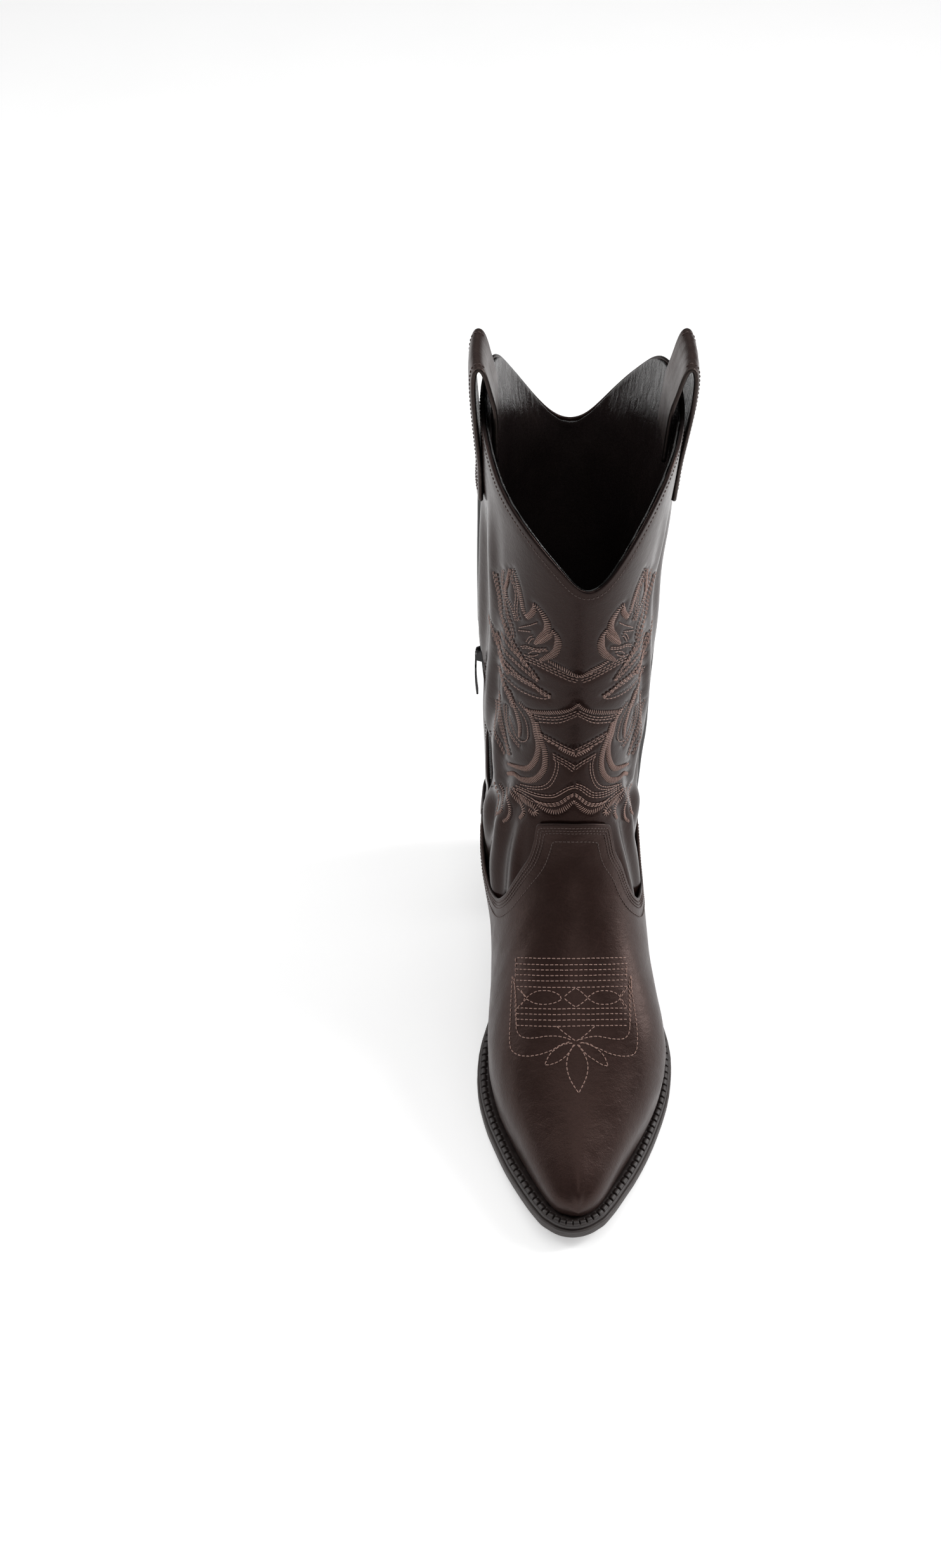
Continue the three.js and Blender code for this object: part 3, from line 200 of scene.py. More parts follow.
# ------------------------------------------------------------------ meshes
def mesh(name, verts, quads, mat, tris=None, body="boot", hides=(), slot=None, smooth=True, attrs=None, weld=False, angle=None):
    me = bpy.data.meshes.new(name)
    v = np.asarray(verts, np.float32); quads = np.asarray(quads, np.int32).reshape(-1, 4)
    tris = np.zeros((0, 3), np.int32) if tris is None else np.asarray(tris, np.int32).reshape(-1, 3)
    # faces out: signed volume
    c = v.mean(0)
    def vol(a, b, d): return float(np.einsum("ij,ij->i", v[a] - c, np.cross(v[b] - c, v[d] - c)).sum())
    total = vol(quads[:, 0], quads[:, 1], quads[:, 2]) + vol(quads[:, 0], quads[:, 2], quads[:, 3]) + (vol(tris[:, 0], tris[:, 1], tris[:, 2]) if len(tris) else 0)
    if total < 0: quads = quads[:, ::-1]; tris = tris[:, ::-1]
    me.vertices.add(len(v)); me.vertices.foreach_set("co", v.ravel())
    loops = np.concatenate([quads.ravel(), tris.ravel()]); me.loops.add(len(loops)); me.loops.foreach_set("vertex_index", loops)
    nf = len(quads) + len(tris); me.polygons.add(nf)
    start = np.concatenate([np.arange(len(quads)) * 4, len(quads) * 4 + np.arange(len(tris)) * 3]).astype(np.int32)
    me.polygons.foreach_set("loop_start", start)
    me.update(calc_edges=True)
    for k, val in (attrs or {}).items():
        a = me.attributes.new(k, "FLOAT", "POINT"); a.data.foreach_set("value", np.asarray(val, np.float32))
    if weld:
        bm = bmesh.new(); bm.from_mesh(me); bmesh.ops.remove_doubles(bm, verts=bm.verts, dist=2e-6); bmesh.ops.dissolve_degenerate(bm, edges=bm.edges, dist=1e-7)
        bm.to_mesh(me); bm.free()
    me.validate()
    me.polygons.foreach_set("use_smooth", np.full(len(me.polygons), smooth))
    if angle: me.set_sharp_from_angle(angle=math.radians(angle))
    me.materials.append(mat)
    o = bpy.data.objects.new(name, me); SC.collection.objects.link(o)
    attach(o, body)
    if hides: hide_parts(*hides)
    return o


def shell(name, S, PH, outer, inner, mat, skip_start=False, bulge=1.0, rings=4, **kw):
    """closed sheet over a grid of (s, phi): outer and inner offsets, edges rounded over"""
    S, PH = np.broadcast_arrays(S, PH)
    O = at(S, PH, outer * np.ones(S.shape)); I = at(S, PH, inner * np.ones(S.shape))
    return sheet(name, O, I, mat, skip_start, bulge, rings, **kw)


def sheet(name, O, I, mat, skip_start=False, bulge=1.0, rings=4, edge_w=1, **kw):
    n, m = O.shape[:2]
    ids = np.arange(n * m).reshape(n, m)
    q = np.stack([ids[:-1, :-1], ids[1:, :-1], ids[1:, 1:], ids[:-1, 1:]], -1).reshape(-1, 4)
    quads = [q, q[:, ::-1] + n * m]
    verts = [O.reshape(-1, 3), I.reshape(-1, 3)]
    b = [(i, 0) for i in range(n)] + [(n - 1, j) for j in range(1, m)] + [(i, m - 1) for i in range(n - 2, -1, -1)] + [(0, j) for j in range(m - 2, 0, -1)]
    bi = np.array([x[0] for x in b]); bj = np.array([x[1] for x in b])
    ni = np.clip(bi, 2, n - 3); nj = np.clip(bj, 2, m - 3)
    Ob, Ib = O[bi, bj], I[bi, bj]
    T = Ob - O[np.where((bi == 0) | (bi == n - 1), ni, bi), np.where((bj == 0) | (bj == m - 1), nj, bj)]
    NN = Ob - Ib; h = np.linalg.norm(NN, axis=-1, keepdims=True) / 2; NN = NN / (2 * h + 1e-12)
    T = T - (T * NN).sum(-1, keepdims=True) * NN; T /= np.linalg.norm(T, axis=-1, keepdims=True) + 1e-12
    C = (Ob + Ib) / 2; ring = []
    for k in range(1, rings + 1):
        th = math.pi * k / (rings + 1); ring.append(C + h * math.cos(th) * NN + h * bulge * math.sin(th) * T)
    base = 2 * n * m; L = len(b); lists = [ids[bi, bj]] + [base + k * L + np.arange(L) for k in range(rings)] + [ids[bi, bj] + n * m]
    live = np.ones(L, bool)
    if skip_start:  # column start is a pole, no rim there
        live = ~((bj == 0) & (np.roll(bj, -1) == 0))
    for a, c in zip(lists[:-1], lists[1:]):
        a2, c2 = np.roll(a, -1), np.roll(c, -1); quads.append(np.stack([a, c, c2, a2], -1)[live])
    verts += ring
    V = np.concatenate(verts); edge = np.zeros(len(V), np.float32); edge[2 * n * m:] = 1; edge[:n * m] = 0
    e2 = np.zeros((n, m), np.float32)
    if not skip_start: e2[:, :edge_w] = 0.6
    e2[:, -edge_w:] = 0.6; e2[:edge_w] = 0.6; e2[-edge_w:] = 0.6
    edge[:n * m] = e2.ravel()
    Q = np.concatenate(quads)
    if skip_start:
        used = np.zeros(len(V), bool); used[Q.ravel()] = True; remap = np.cumsum(used) - 1; Q = remap[Q]; V = V[used]; edge = edge[used]
    return mesh(name, W(V), Q, mat, attrs={"edge": edge}, weld=skip_start, **kw)


# ------------------------------------------------------------------ materials
def nt(name):
    m = bpy.data.materials.new(name); m.use_nodes = True; t = m.node_tree; t.nodes.clear()
    out = t.nodes.new("ShaderNodeOutputMaterial"); b = t.nodes.new("ShaderNodeBsdfPrincipled"); t.links.new(b.outputs[0], out.inputs[0])
    co = t.nodes.new("ShaderNodeTexCoord")
    return m, t, b, co


def node(t, kind, **kw):
    n = t.nodes.new(kind)
    for k, v in kw.items():
        if k in n.inputs: n.inputs[k].default_value = v
        else: setattr(n, k, v)
    return n


def mapping(t, co, scale, rot=(0, 0, 0)):
    m = t.nodes.new("ShaderNodeMapping"); m.inputs["Scale"].default_value = scale if hasattr(scale, "__len__") else (scale,) * 3
    m.inputs["Rotation"].default_value = rot; t.links.new(co.outputs["Object"], m.inputs["Vector"]); return m


def noise(t, co, scale, detail=4, rough=0.55, stretch=(1, 1, 1), rot=(0, 0, 0), dist=0.0):
    m = mapping(t, co, stretch, rot); n = node(t, "ShaderNodeTexNoise"); n.inputs["Scale"].default_value = scale; n.inputs["Detail"].default_value = detail
    n.inputs["Roughness"].default_value = rough; n.inputs["Distortion"].default_value = dist; t.links.new(m.outputs[0], n.inputs["Vector"]); return n.outputs["Fac"]


def ramp(t, fac, stops):
    r = t.nodes.new("ShaderNodeValToRGB"); e = r.color_ramp.elements
    while len(e) < len(stops): e.new(0.5)
    for el, (p, c) in zip(e, stops): el.position = p; el.color = (*c, 1) if len(c) == 3 else c
    t.links.new(fac, r.inputs[0]); return r.outputs[0]


def mathn(t, op, a, b=0.0, clamp=False):
    n = t.nodes.new("ShaderNodeMath"); n.operation = op; n.use_clamp = clamp
    for k, v in enumerate((a, b)):
        if isinstance(v, (int, float)): n.inputs[k].default_value = v
        else: t.links.new(v, n.inputs[k])
    return n.outputs[0]


def mix(t, fac, a, b, mode="MIX"):
    n = t.nodes.new("ShaderNodeMix"); n.data_type = "RGBA"; n.blend_type = mode
    for k, v in ((0, fac), (6, a), (7, b)):
        if isinstance(v, (int, float)): n.inputs[k].default_value = v
        elif isinstance(v, tuple): n.inputs[k].default_value = (*v, 1)
        else: t.links.new(v, n.inputs[k])
    return n.outputs[2]


def bump(t, b, layers):
    last = None
    for h, dist, strength in layers:
        n = t.nodes.new("ShaderNodeBump"); n.inputs["Distance"].default_value = dist; n.inputs["Strength"].default_value = strength
        t.links.new(h, n.inputs["Height"])
        if last: t.links.new(last, n.inputs["Normal"])
        last = n.outputs[0]
    t.links.new(last, b.inputs["Normal"])


def leather(name, lo, hi, rough=(0.36, 0.52), grain=0.5, crease=0.5, edge=None, spec=0.5, coat=0.0, stretch=(1, 1, 1), tint=None):
    m, t, b, co = nt(name)
    big = noise(t, co, 26, 5, 0.6, dist=0.4); fine = noise(t, co, 900, 3, 0.6)
    col = ramp(t, big, [(0.3, lo), (0.7, hi)])
    speck = ramp(t, fine, [(0.35, (0.82,) * 3), (0.65, (1.12,) * 3)])
    col = mix(t, 1.0, col, speck, "MULTIPLY")
    # creases: thin wandering lines
    vm = mapping(t, co, stretch); nz = node(t, "ShaderNodeTexNoise"); nz.inputs["Scale"].default_value = 60; nz.inputs["Detail"].default_value = 4
    t.links.new(vm.outputs[0], nz.inputs["Vector"])
    add = t.nodes.new("ShaderNodeVectorMath"); add.operation = "MULTIPLY_ADD"; add.inputs[1].default_value = (0.012,) * 3
    t.links.new(nz.outputs["Color"], add.inputs[0]); t.links.new(vm.outputs[0], add.inputs[2])
    vo = node(t, "ShaderNodeTexVoronoi"); vo.feature = "DISTANCE_TO_EDGE"; vo.inputs["Scale"].default_value = 75; t.links.new(add.outputs[0], vo.inputs["Vector"])
    line = ramp(t, vo.outputs["Distance"], [(0.0, (0, 0, 0)), (0.05, (1, 1, 1))])
    patch = ramp(t, noise(t, co, 34, 2, 0.5), [(0.46, (0, 0, 0)), (0.66, (1, 1, 1))])
    crease_h = mathn(t, "MULTIPLY", mathn(t, "SUBTRACT", 1.0, line), patch)
    pv = node(t, "ShaderNodeTexVoronoi"); pv.feature = "F1"; pv.inputs["Scale"].default_value = 1150; t.links.new(mapping(t, co, 1).outputs[0], pv.inputs["Vector"])
    streak = noise(t, co, 240, 5, 0.65, stretch=(stretch[0] * 1.0, stretch[1] * 1.0, stretch[2] * 1.0), dist=0.6)
    bump(t, b, [(crease_h, 0.00022, -crease), (streak, 0.00035, crease * 0.55), (pv.outputs["Distance"], 0.00008, grain), (fine, 0.00005, grain)])
    col = mix(t, mathn(t, "MULTIPLY", crease_h, 0.22), col, tuple(min(1, 2.2 * c) for c in hi))
    if edge:
        at_ = t.nodes.new("ShaderNodeAttribute"); at_.attribute_name = "edge"; col = mix(t, at_.outputs["Fac"], col, edge)
    t.links.new(col, b.inputs["Base Color"])
    rr = ramp(t, noise(t, co, 90, 4, 0.6), [(0.3, (rough[0],) * 3), (0.7, (rough[1],) * 3)])
    t.links.new(rr, b.inputs["Roughness"])
    b.inputs["Specular IOR Level"].default_value = spec
    if tint: b.inputs["Specular Tint"].default_value = (*tint, 1)
    if coat: b.inputs["Coat Weight"].default_value = coat; b.inputs["Coat Roughness"].default_value = 0.3
    return m


def plain(name, lo, hi, rough=(0.4, 0.6), scale=300, stretch=(1, 1, 1), metal=0.0, bumpd=0.0001, spec=0.5, strength=0.5, detail=5):
    m, t, b, co = nt(name); n1 = noise(t, co, scale, detail, 0.6, stretch); n2 = noise(t, co, scale * 0.15, 3, 0.5)
    col = mix(t, n2, ramp(t, n1, [(0.35, lo), (0.65, hi)]), hi); t.links.new(col, b.inputs["Base Color"])
    t.links.new(ramp(t, n1, [(0.3, (rough[0],) * 3), (0.7, (rough[1],) * 3)]), b.inputs["Roughness"])
    b.inputs["Metallic"].default_value = metal; b.inputs["Specular IOR Level"].default_value = spec
    bump(t, b, [(n1, bumpd, strength)]); return m


def weave(name, lo, hi, scale=1400, rough=0.85, bumpd=0.0002):
    m, t, b, co = nt(name)
    outs = []
    for rot in ((0, 0, 0.785), (0, 0.785, 0), (1.571, 0, 0.785)):
        w = node(t, "ShaderNodeTexWave"); w.wave_type = "BANDS"; w.bands_direction = "DIAGONAL"; w.inputs["Scale"].default_value = scale * 0.3; w.inputs["Distortion"].default_value = 0.6
        t.links.new(mapping(t, co, 1, rot).outputs[0], w.inputs["Vector"]); outs.append(w.outputs["Fac"])
    h = mathn(t, "MULTIPLY", mathn(t, "ADD", outs[0], outs[1]), 0.5)
    col = mix(t, noise(t, co, 60, 3), ramp(t, h, [(0.2, lo), (0.8, hi)]), hi); t.links.new(col, b.inputs["Base Color"])
    b.inputs["Roughness"].default_value = rough; b.inputs["Sheen Weight"].default_value = 0.15
    bump(t, b, [(h, bumpd, 0.7)]); return m


BROWN_LO, BROWN_HI = (0.0122, 0.0062, 0.0052), (0.0185, 0.0096, 0.0082)
DARK = (0.0065, 0.005, 0.005)
m_vamp = leather("brown leather foot", BROWN_LO, BROWN_HI, (0.33, 0.43), 0.35, 1.0, edge=DARK, spec=0.33, tint=(1.0, 0.66, 0.58), stretch=(0.7, 1.0, 1.0))
m_shaft = leather("brown leather shaft", (0.0084, 0.0040, 0.0033), (0.0124, 0.0061, 0.0051), (0.18, 0.27), 0.3, 0.6, edge=DARK, spec=0.17, tint=(1.0, 0.62, 0.54))
m_strap = leather("brown leather strap", (0.014, 0.0078, 0.0070), (0.021, 0.0118, 0.0102), (0.27, 0.40), 0.6, 1.8, edge=(0.004, 0.0038, 0.004), spec=0.45, tint=(1.0, 0.74, 0.66), stretch=(1, 1, 0.35))
m_lining = leather("black lining", (0.014, 0.0100, 0.0098), (0.025, 0.0180, 0.0172), (0.18, 0.33), 0.7, 3.4, edge=(0.004, 0.004, 0.004), spec=0.6, stretch=(1.2, 1.2, 0.32), coat=0.12)
m_piping = leather("piping", (0.006, 0.005, 0.005), (0.011, 0.008, 0.0075), (0.3, 0.42), 0.4, 0.3)
m_tan = leather("foot lining", (0.028, 0.019, 0.014), (0.045, 0.030, 0.021), (0.6, 0.8), 0.5, 0.4)
m_thread = weave("embroidery thread", (0.155, 0.080, 0.060), (0.330, 0.190, 0.150), 5200, 0.52, 0.00008)
m_thread.node_tree.nodes["Principled BSDF"].inputs["Sheen Weight"].default_value = 0.35
m_dark_thread = weave("dark thread", (0.030, 0.016, 0.013), (0.075, 0.042, 0.034), 5200, 0.6, 0.00008)
m_welt = plain("welt", (0.010, 0.0072, 0.0068), (0.024, 0.0165, 0.015), (0.42, 0.62), 420, bumpd=0.00025)
m_sole = plain("sole edge", (0.017, 0.012, 0.011), (0.034, 0.025, 0.0225), (0.45, 0.62), 260, stretch=(0.25, 0.25, 3.2), bumpd=0.0003, strength=0.7)
m_heel = plain("heel stack", (0.012, 0.008, 0.007), (0.028, 0.019, 0.017), (0.34, 0.5), 220, stretch=(0.3, 0.3, 3.6), bumpd=0.0003)
m_cap = plain("heel top piece", (0.008, 0.008, 0.008), (0.016, 0.015, 0.015), (0.6, 0.8), 700, bumpd=0.0002)
m_tape = weave("zip tape", (0.0045, 0.0045, 0.005), (0.013, 0.0125, 0.013), 1500)
m_teeth = plain("zip teeth", (0.006, 0.006, 0.0065), (0.012, 0.012, 0.013), (0.25, 0.36), 900, bumpd=0.00003)
m_metal = plain("black painted metal", (0.010, 0.010, 0.011), (0.022, 0.021, 0.022), (0.22, 0.38), 600, metal=0.35, bumpd=0.00004)
m_fibre = weave("stiffener fibre", (0.45, 0.38, 0.26), (0.66, 0.58, 0.44), 900)
m_board = plain("insole board", (0.30, 0.21, 0.12), (0.46, 0.34, 0.20), (0.8, 0.95), 500, bumpd=0.0002)
m_cork = plain("cork", (0.22, 0.13, 0.06), (0.50, 0.34, 0.18), (0.8, 0.95), 420, bumpd=0.0004)
m_steel = plain("steel", (0.34, 0.34, 0.35), (0.52, 0.52, 0.53), (0.25, 0.4), 300, stretch=(1, 0.1, 1), metal=1.0, bumpd=0.00003)

# ------------------------------------------------------------------ stitch lines: traced curves in (s, phi), on the inner side; mirrored for the outer side
CURVES = {
    "flameA": [[20.76, -0.484], [20.73, -0.479], [20.7, -0.474], [20.67, -0.469], [20.63, -0.464], [20.59, -0.457], [20.53, -0.451], [20.47, -0.444], [20.41, -0.437], [20.34, -0.431], [20.25, -0.425], [20.17, -0.419], [20.09, -0.414], [20.01, -0.408], [19.93, -0.403], [19.85, -0.397], [19.79, -0.392], [19.74, -0.385], [19.71, -0.378], [19.68, -0.371], [19.65, -0.364]],
    "flameB": [[19.65, -0.364], [19.68, -0.355], [19.72, -0.347], [19.75, -0.339], [19.79, -0.332], [19.83, -0.326], [19.87, -0.321], [19.91, -0.316], [19.95, -0.314], [19.99, -0.313], [20.03, -0.314], [20.07, -0.316], [20.11, -0.318]],
    "flameC": [[20.11, -0.318], [20.1, -0.308], [20.08, -0.3], [20.07, -0.291], [20.04, -0.282], [20.0, -0.272], [19.95, -0.262], [19.9, -0.253], [19.85, -0.244], [19.8, -0.236], [19.75, -0.229], [19.69, -0.222], [19.63, -0.218], [19.57, -0.217], [19.5, -0.217], [19.44, -0.22], [19.37, -0.224], [19.3, -0.233], [19.24, -0.245], [19.17, -0.258], [19.11, -0.269], [19.05, -0.278], [18.99, -0.286], [18.94, -0.294], [18.88, -0.301]],
    "flameD": [[18.88, -0.301], [18.93, -0.286], [18.98, -0.27], [19.02, -0.255], [19.07, -0.241], [19.12, -0.229], [19.17, -0.217], [19.22, -0.206], [19.27, -0.198], [19.31, -0.192], [19.36, -0.188], [19.4, -0.186], [19.45, -0.183]],
    "flameE": [[19.45, -0.183], [19.41, -0.176], [19.37, -0.169], [19.33, -0.162], [19.28, -0.156], [19.23, -0.152], [19.16, -0.148], [19.1, -0.146], [19.04, -0.145], [18.98, -0.146], [18.92, -0.147], [18.86, -0.151], [18.8, -0.155], [18.75, -0.159], [18.7, -0.165], [18.65, -0.172], [18.59, -0.183], [18.53, -0.199], [18.47, -0.22], [18.4, -0.242], [18.33, -0.264]],
    "dashA": [[19.22, -0.427], [19.25, -0.417], [19.27, -0.407], [19.3, -0.397], [19.33, -0.385], [19.35, -0.373], [19.38, -0.361], [19.41, -0.348], [19.44, -0.336], [19.48, -0.323], [19.52, -0.311], [19.55, -0.299], [19.59, -0.287]],
    "dashB": [[19.13, -0.433], [19.14, -0.421], [19.16, -0.409], [19.17, -0.397], [19.18, -0.385], [19.2, -0.373], [19.21, -0.36], [19.22, -0.348], [19.23, -0.335]],
    "dashC": [[18.63, -0.417], [18.66, -0.404], [18.68, -0.391], [18.71, -0.378], [18.72, -0.365], [18.72, -0.352], [18.71, -0.34], [18.7, -0.327], [18.7, -0.316], [18.7, -0.306], [18.7, -0.298], [18.71, -0.289], [18.72, -0.278], [18.73, -0.264], [18.75, -0.249], [18.77, -0.234], [18.78, -0.219]],
    "dashD": [[18.85, -0.37], [18.9, -0.364], [18.96, -0.357], [19.01, -0.351], [19.05, -0.345], [19.08, -0.339], [19.09, -0.333], [19.1, -0.327], [19.11, -0.321]],
    "dashE": [[18.47, -0.355], [18.5, -0.346], [18.54, -0.337], [18.58, -0.327], [18.61, -0.316], [18.62, -0.303], [18.62, -0.288], [18.63, -0.274], [18.63, -0.259]],
    "dashF": [[18.41, -0.351], [18.41, -0.342], [18.41, -0.334], [18.41, -0.325], [18.42, -0.316], [18.44, -0.307], [18.47, -0.297], [18.5, -0.287], [18.53, -0.278]],
    "vee1": [[18.3, -0.387], [18.29, -0.364], [18.27, -0.342], [18.25, -0.319], [18.23, -0.297], [18.19, -0.274], [18.15, -0.251], [18.1, -0.227], [18.06, -0.204], [18.01, -0.181], [17.96, -0.158], [17.91, -0.135], [17.87, -0.116], [17.83, -0.1], [17.8, -0.088], [17.76, -0.076], [17.73, -0.064], [17.71, -0.051], [17.69, -0.037], [17.67, -0.024], [17.65, -0.011]],
    "veecomb": [[18.33, -0.205], [18.3, -0.192], [18.26, -0.178], [18.23, -0.165], [18.19, -0.152], [18.16, -0.137], [18.12, -0.121], [18.08, -0.105], [18.04, -0.091], [18.0, -0.079], [17.96, -0.069], [17.92, -0.059], [17.89, -0.048], [17.86, -0.036], [17.85, -0.025], [17.83, -0.013], [17.81, -0.001]],
    "bladeA": [[18.71, -0.662], [18.66, -0.647], [18.59, -0.632], [18.53, -0.618], [18.47, -0.603], [18.41, -0.587], [18.35, -0.571], [18.29, -0.554], [18.23, -0.536], [18.18, -0.517], [18.14, -0.496], [18.09, -0.474], [18.04, -0.453], [17.98, -0.432], [17.92, -0.411], [17.86, -0.389], [17.8, -0.368], [17.73, -0.346], [17.66, -0.324], [17.59, -0.302], [17.51, -0.281]],
    "bladeA2": [[18.82, -0.6], [18.77, -0.587], [18.73, -0.574], [18.68, -0.56], [18.63, -0.547], [18.58, -0.532], [18.53, -0.518], [18.48, -0.502], [18.43, -0.486], [18.38, -0.467], [18.33, -0.447], [18.28, -0.427], [18.22, -0.408], [18.17, -0.392], [18.11, -0.377], [18.04, -0.362], [17.96, -0.347], [17.87, -0.331], [17.75, -0.314], [17.64, -0.297], [17.51, -0.281]],
    "bladeB": [[18.14, -0.669], [18.08, -0.654], [18.02, -0.641], [17.95, -0.626], [17.89, -0.609], [17.83, -0.588], [17.77, -0.566], [17.71, -0.542], [17.65, -0.517], [17.59, -0.489], [17.54, -0.46], [17.48, -0.43], [17.42, -0.402], [17.37, -0.373], [17.31, -0.344], [17.25, -0.316], [17.19, -0.289], [17.11, -0.263], [17.03, -0.239], [16.94, -0.214], [16.85, -0.19]],
    "bladeB2": [[18.2, -0.62], [18.13, -0.6], [18.05, -0.582], [17.97, -0.562], [17.89, -0.54], [17.81, -0.512], [17.72, -0.482], [17.63, -0.452], [17.55, -0.423], [17.49, -0.395], [17.44, -0.367], [17.39, -0.342], [17.33, -0.318], [17.25, -0.299], [17.15, -0.282], [17.05, -0.266], [16.98, -0.25], [16.93, -0.234], [16.9, -0.22], [16.88, -0.205], [16.85, -0.19]],
    "bladeB3": [[17.53, -0.6], [17.47, -0.58], [17.41, -0.561], [17.34, -0.542], [17.28, -0.521], [17.21, -0.499], [17.15, -0.475], [17.08, -0.451], [17.02, -0.426], [16.97, -0.4], [16.92, -0.372], [16.87, -0.345], [16.83, -0.32], [16.8, -0.295], [16.77, -0.271], [16.76, -0.249], [16.75, -0.231], [16.76, -0.217], [16.79, -0.208], [16.82, -0.199], [16.85, -0.19]],
    "strand1": [[20.29, -0.66], [20.23, -0.656], [20.17, -0.652], [20.11, -0.648], [20.04, -0.643], [19.96, -0.635], [19.88, -0.627], [19.79, -0.619], [19.7, -0.612], [19.61, -0.608], [19.52, -0.607], [19.43, -0.604], [19.34, -0.598], [19.26, -0.588], [19.18, -0.574], [19.11, -0.56], [19.02, -0.545], [18.93, -0.531], [18.84, -0.516], [18.74, -0.5], [18.64, -0.485], [18.55, -0.468], [18.47, -0.451], [18.38, -0.434], [18.3, -0.419], [18.22, -0.406], [18.14, -0.394], [18.07, -0.383], [17.98, -0.372]],
    "strand2": [[20.55, -0.575], [20.47, -0.578], [20.39, -0.582], [20.31, -0.585], [20.23, -0.586], [20.16, -0.583], [20.08, -0.577], [20.01, -0.57], [19.94, -0.564], [19.86, -0.559], [19.78, -0.554], [19.7, -0.549], [19.62, -0.544], [19.56, -0.538], [19.49, -0.532], [19.43, -0.526], [19.37, -0.519], [19.31, -0.511], [19.25, -0.503], [19.19, -0.496], [19.12, -0.489], [19.05, -0.485], [18.97, -0.483], [18.89, -0.481], [18.82, -0.478]],
    "strand3": [[20.68, -0.518], [20.59, -0.522], [20.51, -0.526], [20.42, -0.53], [20.34, -0.534], [20.27, -0.54], [20.21, -0.545], [20.16, -0.55], [20.1, -0.552], [20.04, -0.55], [19.98, -0.546], [19.92, -0.54], [19.86, -0.532], [19.81, -0.521], [19.77, -0.508], [19.72, -0.494], [19.66, -0.483], [19.6, -0.476], [19.54, -0.469], [19.47, -0.464], [19.41, -0.458]],
    "strand4": [[20.73, -0.495], [20.67, -0.496], [20.61, -0.498], [20.55, -0.499], [20.49, -0.497], [20.45, -0.49], [20.43, -0.48], [20.4, -0.47], [20.36, -0.462], [20.3, -0.456], [20.24, -0.451], [20.17, -0.448], [20.1, -0.446], [20.04, -0.446], [19.99, -0.448], [19.93, -0.451], [19.87, -0.452], [19.8, -0.453], [19.74, -0.454], [19.67, -0.454], [19.61, -0.452], [19.56, -0.447], [19.51, -0.441], [19.46, -0.434], [19.42, -0.427]],
    "strand5": [[18.7, -0.671], [18.63, -0.665], [18.55, -0.66], [18.47, -0.655], [18.4, -0.649], [18.33, -0.642], [18.26, -0.636], [18.19, -0.629], [18.12, -0.621], [18.05, -0.612], [17.98, -0.603], [17.91, -0.592], [17.84, -0.581], [17.77, -0.568], [17.7, -0.553], [17.63, -0.538], [17.55, -0.524]],
    "strand6": [[17.57, -0.679], [17.55, -0.662], [17.54, -0.645], [17.51, -0.63], [17.47, -0.616], [17.4, -0.605], [17.32, -0.595], [17.23, -0.586], [17.14, -0.577], [17.06, -0.568], [16.97, -0.559], [16.88, -0.55], [16.77, -0.54], [16.65, -0.528], [16.52, -0.516], [16.38, -0.503], [16.23, -0.49]],
    "strand7": [[19.02, -0.753], [18.96, -0.737], [18.9, -0.721], [18.84, -0.707], [18.77, -0.696], [18.69, -0.689], [18.61, -0.685], [18.52, -0.68], [18.44, -0.673], [18.36, -0.662], [18.28, -0.648], [18.2, -0.634], [18.12, -0.621]],
    "s8": [[17.13, -0.577], [17.07, -0.569], [17.0, -0.562], [16.94, -0.554], [16.86, -0.545], [16.77, -0.535], [16.66, -0.524], [16.55, -0.512], [16.45, -0.502], [16.36, -0.494], [16.28, -0.486], [16.2, -0.479], [16.11, -0.472], [16.0, -0.465], [15.89, -0.458], [15.78, -0.452], [15.66, -0.447], [15.54, -0.442], [15.42, -0.438], [15.29, -0.435], [15.17, -0.434], [15.05, -0.434], [14.94, -0.435], [14.83, -0.437], [14.72, -0.439]],
    "s9": [[16.97, -0.531], [16.86, -0.521], [16.74, -0.511], [16.63, -0.501], [16.51, -0.489], [16.41, -0.475], [16.32, -0.46], [16.22, -0.444], [16.12, -0.43], [16.02, -0.417], [15.91, -0.404], [15.79, -0.393], [15.67, -0.383], [15.54, -0.376], [15.39, -0.369], [15.24, -0.365], [15.1, -0.362], [14.95, -0.36], [14.8, -0.359], [14.66, -0.36], [14.56, -0.365], [14.48, -0.374], [14.43, -0.387], [14.41, -0.402], [14.41, -0.416], [14.45, -0.428], [14.52, -0.441], [14.62, -0.452], [14.72, -0.464], [14.86, -0.474], [15.01, -0.484], [15.16, -0.493], [15.31, -0.502], [15.45, -0.511], [15.58, -0.52], [15.71, -0.528], [15.84, -0.537]],
    "s10": [[16.36, -0.578], [16.23, -0.579], [16.1, -0.581], [15.97, -0.581], [15.83, -0.58], [15.69, -0.577], [15.54, -0.573], [15.39, -0.566], [15.24, -0.556], [15.08, -0.542], [14.9, -0.524], [14.73, -0.506], [14.58, -0.489], [14.45, -0.474], [14.35, -0.461], [14.25, -0.447], [14.15, -0.434]],
    "s11": [[16.79, -0.66], [16.67, -0.658], [16.55, -0.655], [16.42, -0.652], [16.28, -0.649], [16.12, -0.646], [15.95, -0.643], [15.76, -0.639], [15.57, -0.634], [15.37, -0.627], [15.16, -0.619], [14.95, -0.61], [14.74, -0.601], [14.56, -0.591], [14.38, -0.579], [14.22, -0.568], [14.08, -0.559], [13.97, -0.552], [13.87, -0.547], [13.78, -0.543], [13.69, -0.538]],
    "s12": [[16.46, -0.722], [16.3, -0.719], [16.14, -0.715], [15.98, -0.711], [15.8, -0.706], [15.62, -0.702], [15.43, -0.698], [15.23, -0.694], [15.04, -0.686], [14.83, -0.675], [14.62, -0.661], [14.42, -0.648], [14.25, -0.636], [14.1, -0.625], [13.98, -0.616], [13.88, -0.607], [13.76, -0.597]],
